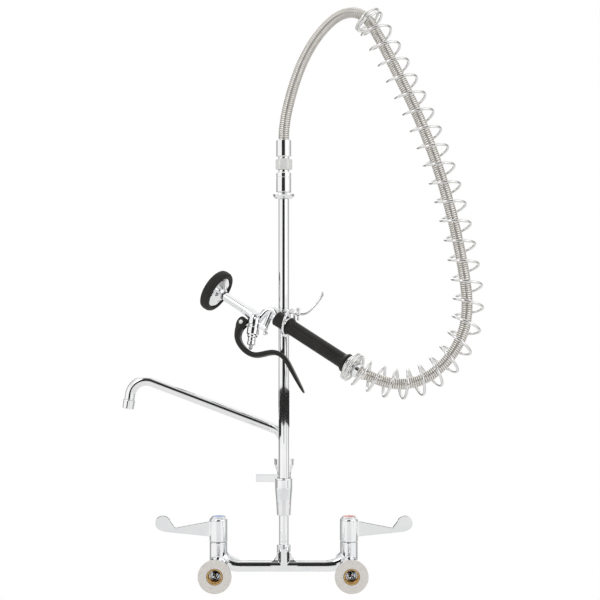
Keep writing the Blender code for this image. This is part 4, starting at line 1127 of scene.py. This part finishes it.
def make_head():
    here = along_gun(0, HEAD_V)
    tube = [(5.2, -69.3), (6.9, -69.3), (6.9, -110.5), (5.2, -110.5)]
    stands_for(turned("spray_pipe", tube, CHROME, here, 0.2, True), "head_tube")
    dish = [
        (5.4, -110.8), (9.2, -110.8), (10.0, -112.0), (11.0, -114.0), (16.0, -116.6), (22.6, -118.0),
        (25.0, -119.0), (25.2, -125.0), (23.8, -125.6), (22.0, -120.0), (15.0, -119.0), (5.4, -117.5),
    ]
    stands_for(turned("dish", dish, CHROME, here, 0.8, True, 96), "spray_dish")
    tyre = [
        (25.5, -117.8), (29.0, -116.8), (32.2, -118.2), (33.8, -121.2), (34.0, -127.0), (33.0, -130.8),
        (30.0, -133.0), (26.2, -133.0), (24.0, -131.8), (24.0, -130.0), (25.5, -126.0),
    ]
    stands_for(turned("rubber_bumper", tyre, RUBBER, here, 1.2, True, 96), "bumper_ring")
    face = [
        (0, -121.0), (21.6, -121.0), (23.0, -126.4), (22.2, -128.2), (15.0, -129.0), (4.8, -129.4),
        (4.8, -127.5), (0, -127.5),
    ]
    plate = turned("sprinkler_plate", face, STEEL, here, 0.3, around=96)
    holes = []
    for ring_r, count in ((0.0085, 8), (0.0130, 14), (0.0175, 20)):
        for i in range(count):
            a = 2 * PI * (i + 0.5) / count
            at = here @ Matrix.Translation((ring_r * math.cos(a), ring_r * math.sin(a), 0))
            hole = [(0, -126.5), (0.8, -126.5), (0.8, -132), (0, -132)]
            holes.append(turned("hole", hole, None, at, 0, around=16))
    cut(plate, joined("holes", holes))
    stands_for(plate, "spray_face")
    screw = [(0, -127.8), (4.0, -127.8), (4.0, -129.6), (2.0, -130.4), (0, -130.4)]
    head = turned("plate_screw", screw, STEEL, here, 0.3, around=48)
    slot = block("slot", (-0.005, -0.0005, -0.1320), (0.005, 0.0005, -0.1296), here)
    stands_for(cut(head, slot), "face_screw")


# The trigger from its yoke to its tail, in millimetres: (u, v, half thickness, half width).
TRIGGER_STATIONS = [
    (-58.6, 26.2, 4.0, 6.0),
    (-58.6, 28.5, 6.8, 7.8),
    (-58.6, 33.5, 8.2, 8.3),
    (-58.6, 38.5, 8.0, 8.3),
    (-57.8, 44.0, 6.2, 8.3),
    (-56.0, 50.5, 5.0, 8.3),
    (-52.5, 57.0, 4.4, 8.3),
    (-46.6, 62.4, 4.2, 8.2),
    (-39.0, 66.0, 4.2, 8.1),
    (-29.0, 68.4, 4.2, 8.0),
    (-19.0, 68.2, 4.2, 7.8),
    (-10.5, 65.0, 4.1, 7.6),
    (-3.0, 59.0, 4.0, 7.5),
    (4.0, 52.2, 3.9, 7.4),
    (11.5, 46.7, 3.8, 7.3),
    (20.0, 44.2, 3.7, 7.2),
    (29.0, 44.6, 3.6, 7.1),
    (38.5, 47.8, 3.4, 7.0),
    (53.0, 55.2, 3.0, 7.0),
    (69.0, 63.5, 2.4, 6.6),
    (81.0, 69.7, 1.8, 5.2),
    (86.8, 72.7, 1.2, 3.0),
]


def make_trigger():
    stations = smooth_line([Vector(s) for s in TRIGGER_STATIONS], 1.2)
    sides, rings = 40, []
    for i, (x, y, thick, wide) in enumerate(stations):
        ahead = stations[min(i + 1, len(stations) - 1)] - stations[max(i - 1, 0)]
        along = Vector((ahead[0], ahead[1], 0)).normalized()
        across = Vector((-along.y, along.x, 0))
        ring = []
        for j in range(sides):
            a = 2 * PI * (j + 0.5) / sides
            c, s = math.cos(a), math.sin(a)
            square = (abs(c) ** 4 + abs(s) ** 4) ** 0.25
            out = across * (thick * c / square)
            ring.append(Vector((x, y, 0)) + out + Vector((0, 0, wide * s / square)))
        rings.append(ring)
    lever = skin("trigger", rings, MOULDING, GUN)
    px, py = PIVOT
    slot = block("slot", (px - 12.0, py - 13.0, -3.6), (px + 18.0, py + 8.5, 3.6), GUN)
    at_pivot = in_gun((0, 0, 1), PIVOT)
    hole = drill(2.3, 12, -12, at_pivot, 40)
    cut(lever, slot, hole)
    stands_for(lever, "trigger_lever")
    pin = [(0, 8.6), (2.0, 8.6), (2.0, -8.6), (3.4, -8.6), (3.4, -9.6), (2.2, -10.4), (0, -10.4)]
    stands_for(turned("pivot", pin, STEEL, at_pivot, 0.2, around=48), "pivot_screw")


# ---------------- hook and hanging ring

FINGER_ROUTE = [
    (-0.0010, -0.0957, 0.3925),
    (-0.0030, -0.0900, 0.3924),
    (-0.0075, -0.0830, 0.3918),
    (-0.0150, -0.0775, 0.3908),
    (-0.0235, -0.0752, 0.3893),
    (-0.0305, -0.0745, 0.3889),
    (-0.0375, -0.0742, 0.3918),
    (-0.0440, -0.0741, 0.3975),
    (-0.0500, -0.0740, 0.4040),
    (-0.0560, -0.0740, 0.4120),
    (-0.0595, -0.0740, 0.4190),
    (-0.0590, -0.0740, 0.4240),
]


def make_hook():
    clamp = [(8.85, 7.0), (11.5, 7.0), (11.5, -7.0), (8.85, -7.0)]
    here = Matrix.Translation((0, RISER_Y, middle("hook_clamp").z))
    stands_for(turned("clamp", clamp, CHROME, here, 0.8, True, 80), "hook_clamp")
    line = smooth_line(FINGER_ROUTE, 0.0010)
    radii = []
    for i in range(len(line)):
        from_tip = (len(line) - 1 - i) / 3
        radii.append(0.0021 * (math.sqrt(1 - (1 - from_tip) ** 2) if from_tip < 1 else 1) + 1e-5)
    finger = swept("finger", line, radii, None, None, 28)
    at_screw = Matrix.Translation(HOOK_SCREW_AT)
    boss = turned("boss", arc((0, 0), 4.0, 90, -90, 24), None, at_screw, 0, around=32)
    hook = cast("hook_casting", [finger, boss], 0.0003, 4, CHROME)
    stands_for(cut(hook, drill(2.1, 10, -10, at_screw, 32)), "hook_finger")
    screw = [(0, 9.2), (2.6, 9.0), (3.2, 8.0), (3.2, 4.6), (1.8, 4.3), (1.8, -10.5), (0, -11.0)]
    stands_for(turned("clamp_screw", screw, CHROME, at_screw, 0.2, around=40), "hook_screw")
    normal = Vector((-0.905, 0.342, -0.250)).normalized()
    up = Vector((0, 0, 1)) - normal.z * normal
    matrix = placed(normal, (-0.0075, -0.0805, 0.3757), up)
    section = arc((21.3, 0), 2.0, 90, -270, 24)[:-1]
    stands_for(turned("ring", section, CHROME, matrix, 0, True, 96), "hang_ring")


# ---------------- small CAD pieces that stay


def dress_small_pieces():
    """CAD nodes whose shape is right keep it, and get their finish."""
    finish = {
        "cartridge_cold": BRASS,
        "cartridge_hot": BRASS,
        "spindle_cold": BRASS,
        "spindle_hot": BRASS,
        "lever_screw_cold": STEEL,
        "lever_screw_hot": STEEL,
        "spout_valve_spindle": BRASS,
        "spout_collar": BRASS,
        "riser_seal": RUBBER,
        "valve_washer": RUBBER,
        "return_spring": WIRE,
    }
    for node, material in finish.items():
        mesh = frame["nodes"][node].data
        mesh.materials.clear()
        mesh.materials.append(material)


def make_floor():
    rings = []
    for z in (-0.64, -0.62):
        turns = [a * PI / 64 for a in range(128)]
        rings.append([(STUDIO_R * math.cos(a), STUDIO_R * math.sin(a), z) for a in turns])
    floor = skin("floor", rings, FLOOR)
    floor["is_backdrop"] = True


def build():
    make_camera()
    hose, route = make_hose()
    spring = make_hose_spring()
    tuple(HOSE_ROUTE[0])
    lengths_along(route)[-1]
    [tuple(p) for p in route]
    bpy.context.scene.view_settings.view_transform = "Standard"
    make_world()
    make_lights()
    make_flags()
    make_floor()
    make_bridge()
    for side in (COLD, HOT):
        make_inlet(side)
        make_wrist_lever(side)
    make_tee()
    make_spout()
    make_riser()
    make_handle()
    make_spray_body()
    make_valve()
    make_head()
    make_trigger()
    make_hook()
    dress_small_pieces()


build()
boxes = {"cad": CAD_BOX, "visual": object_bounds()}
{name: [list(corner) for corner in box] for name, box in boxes.items()}
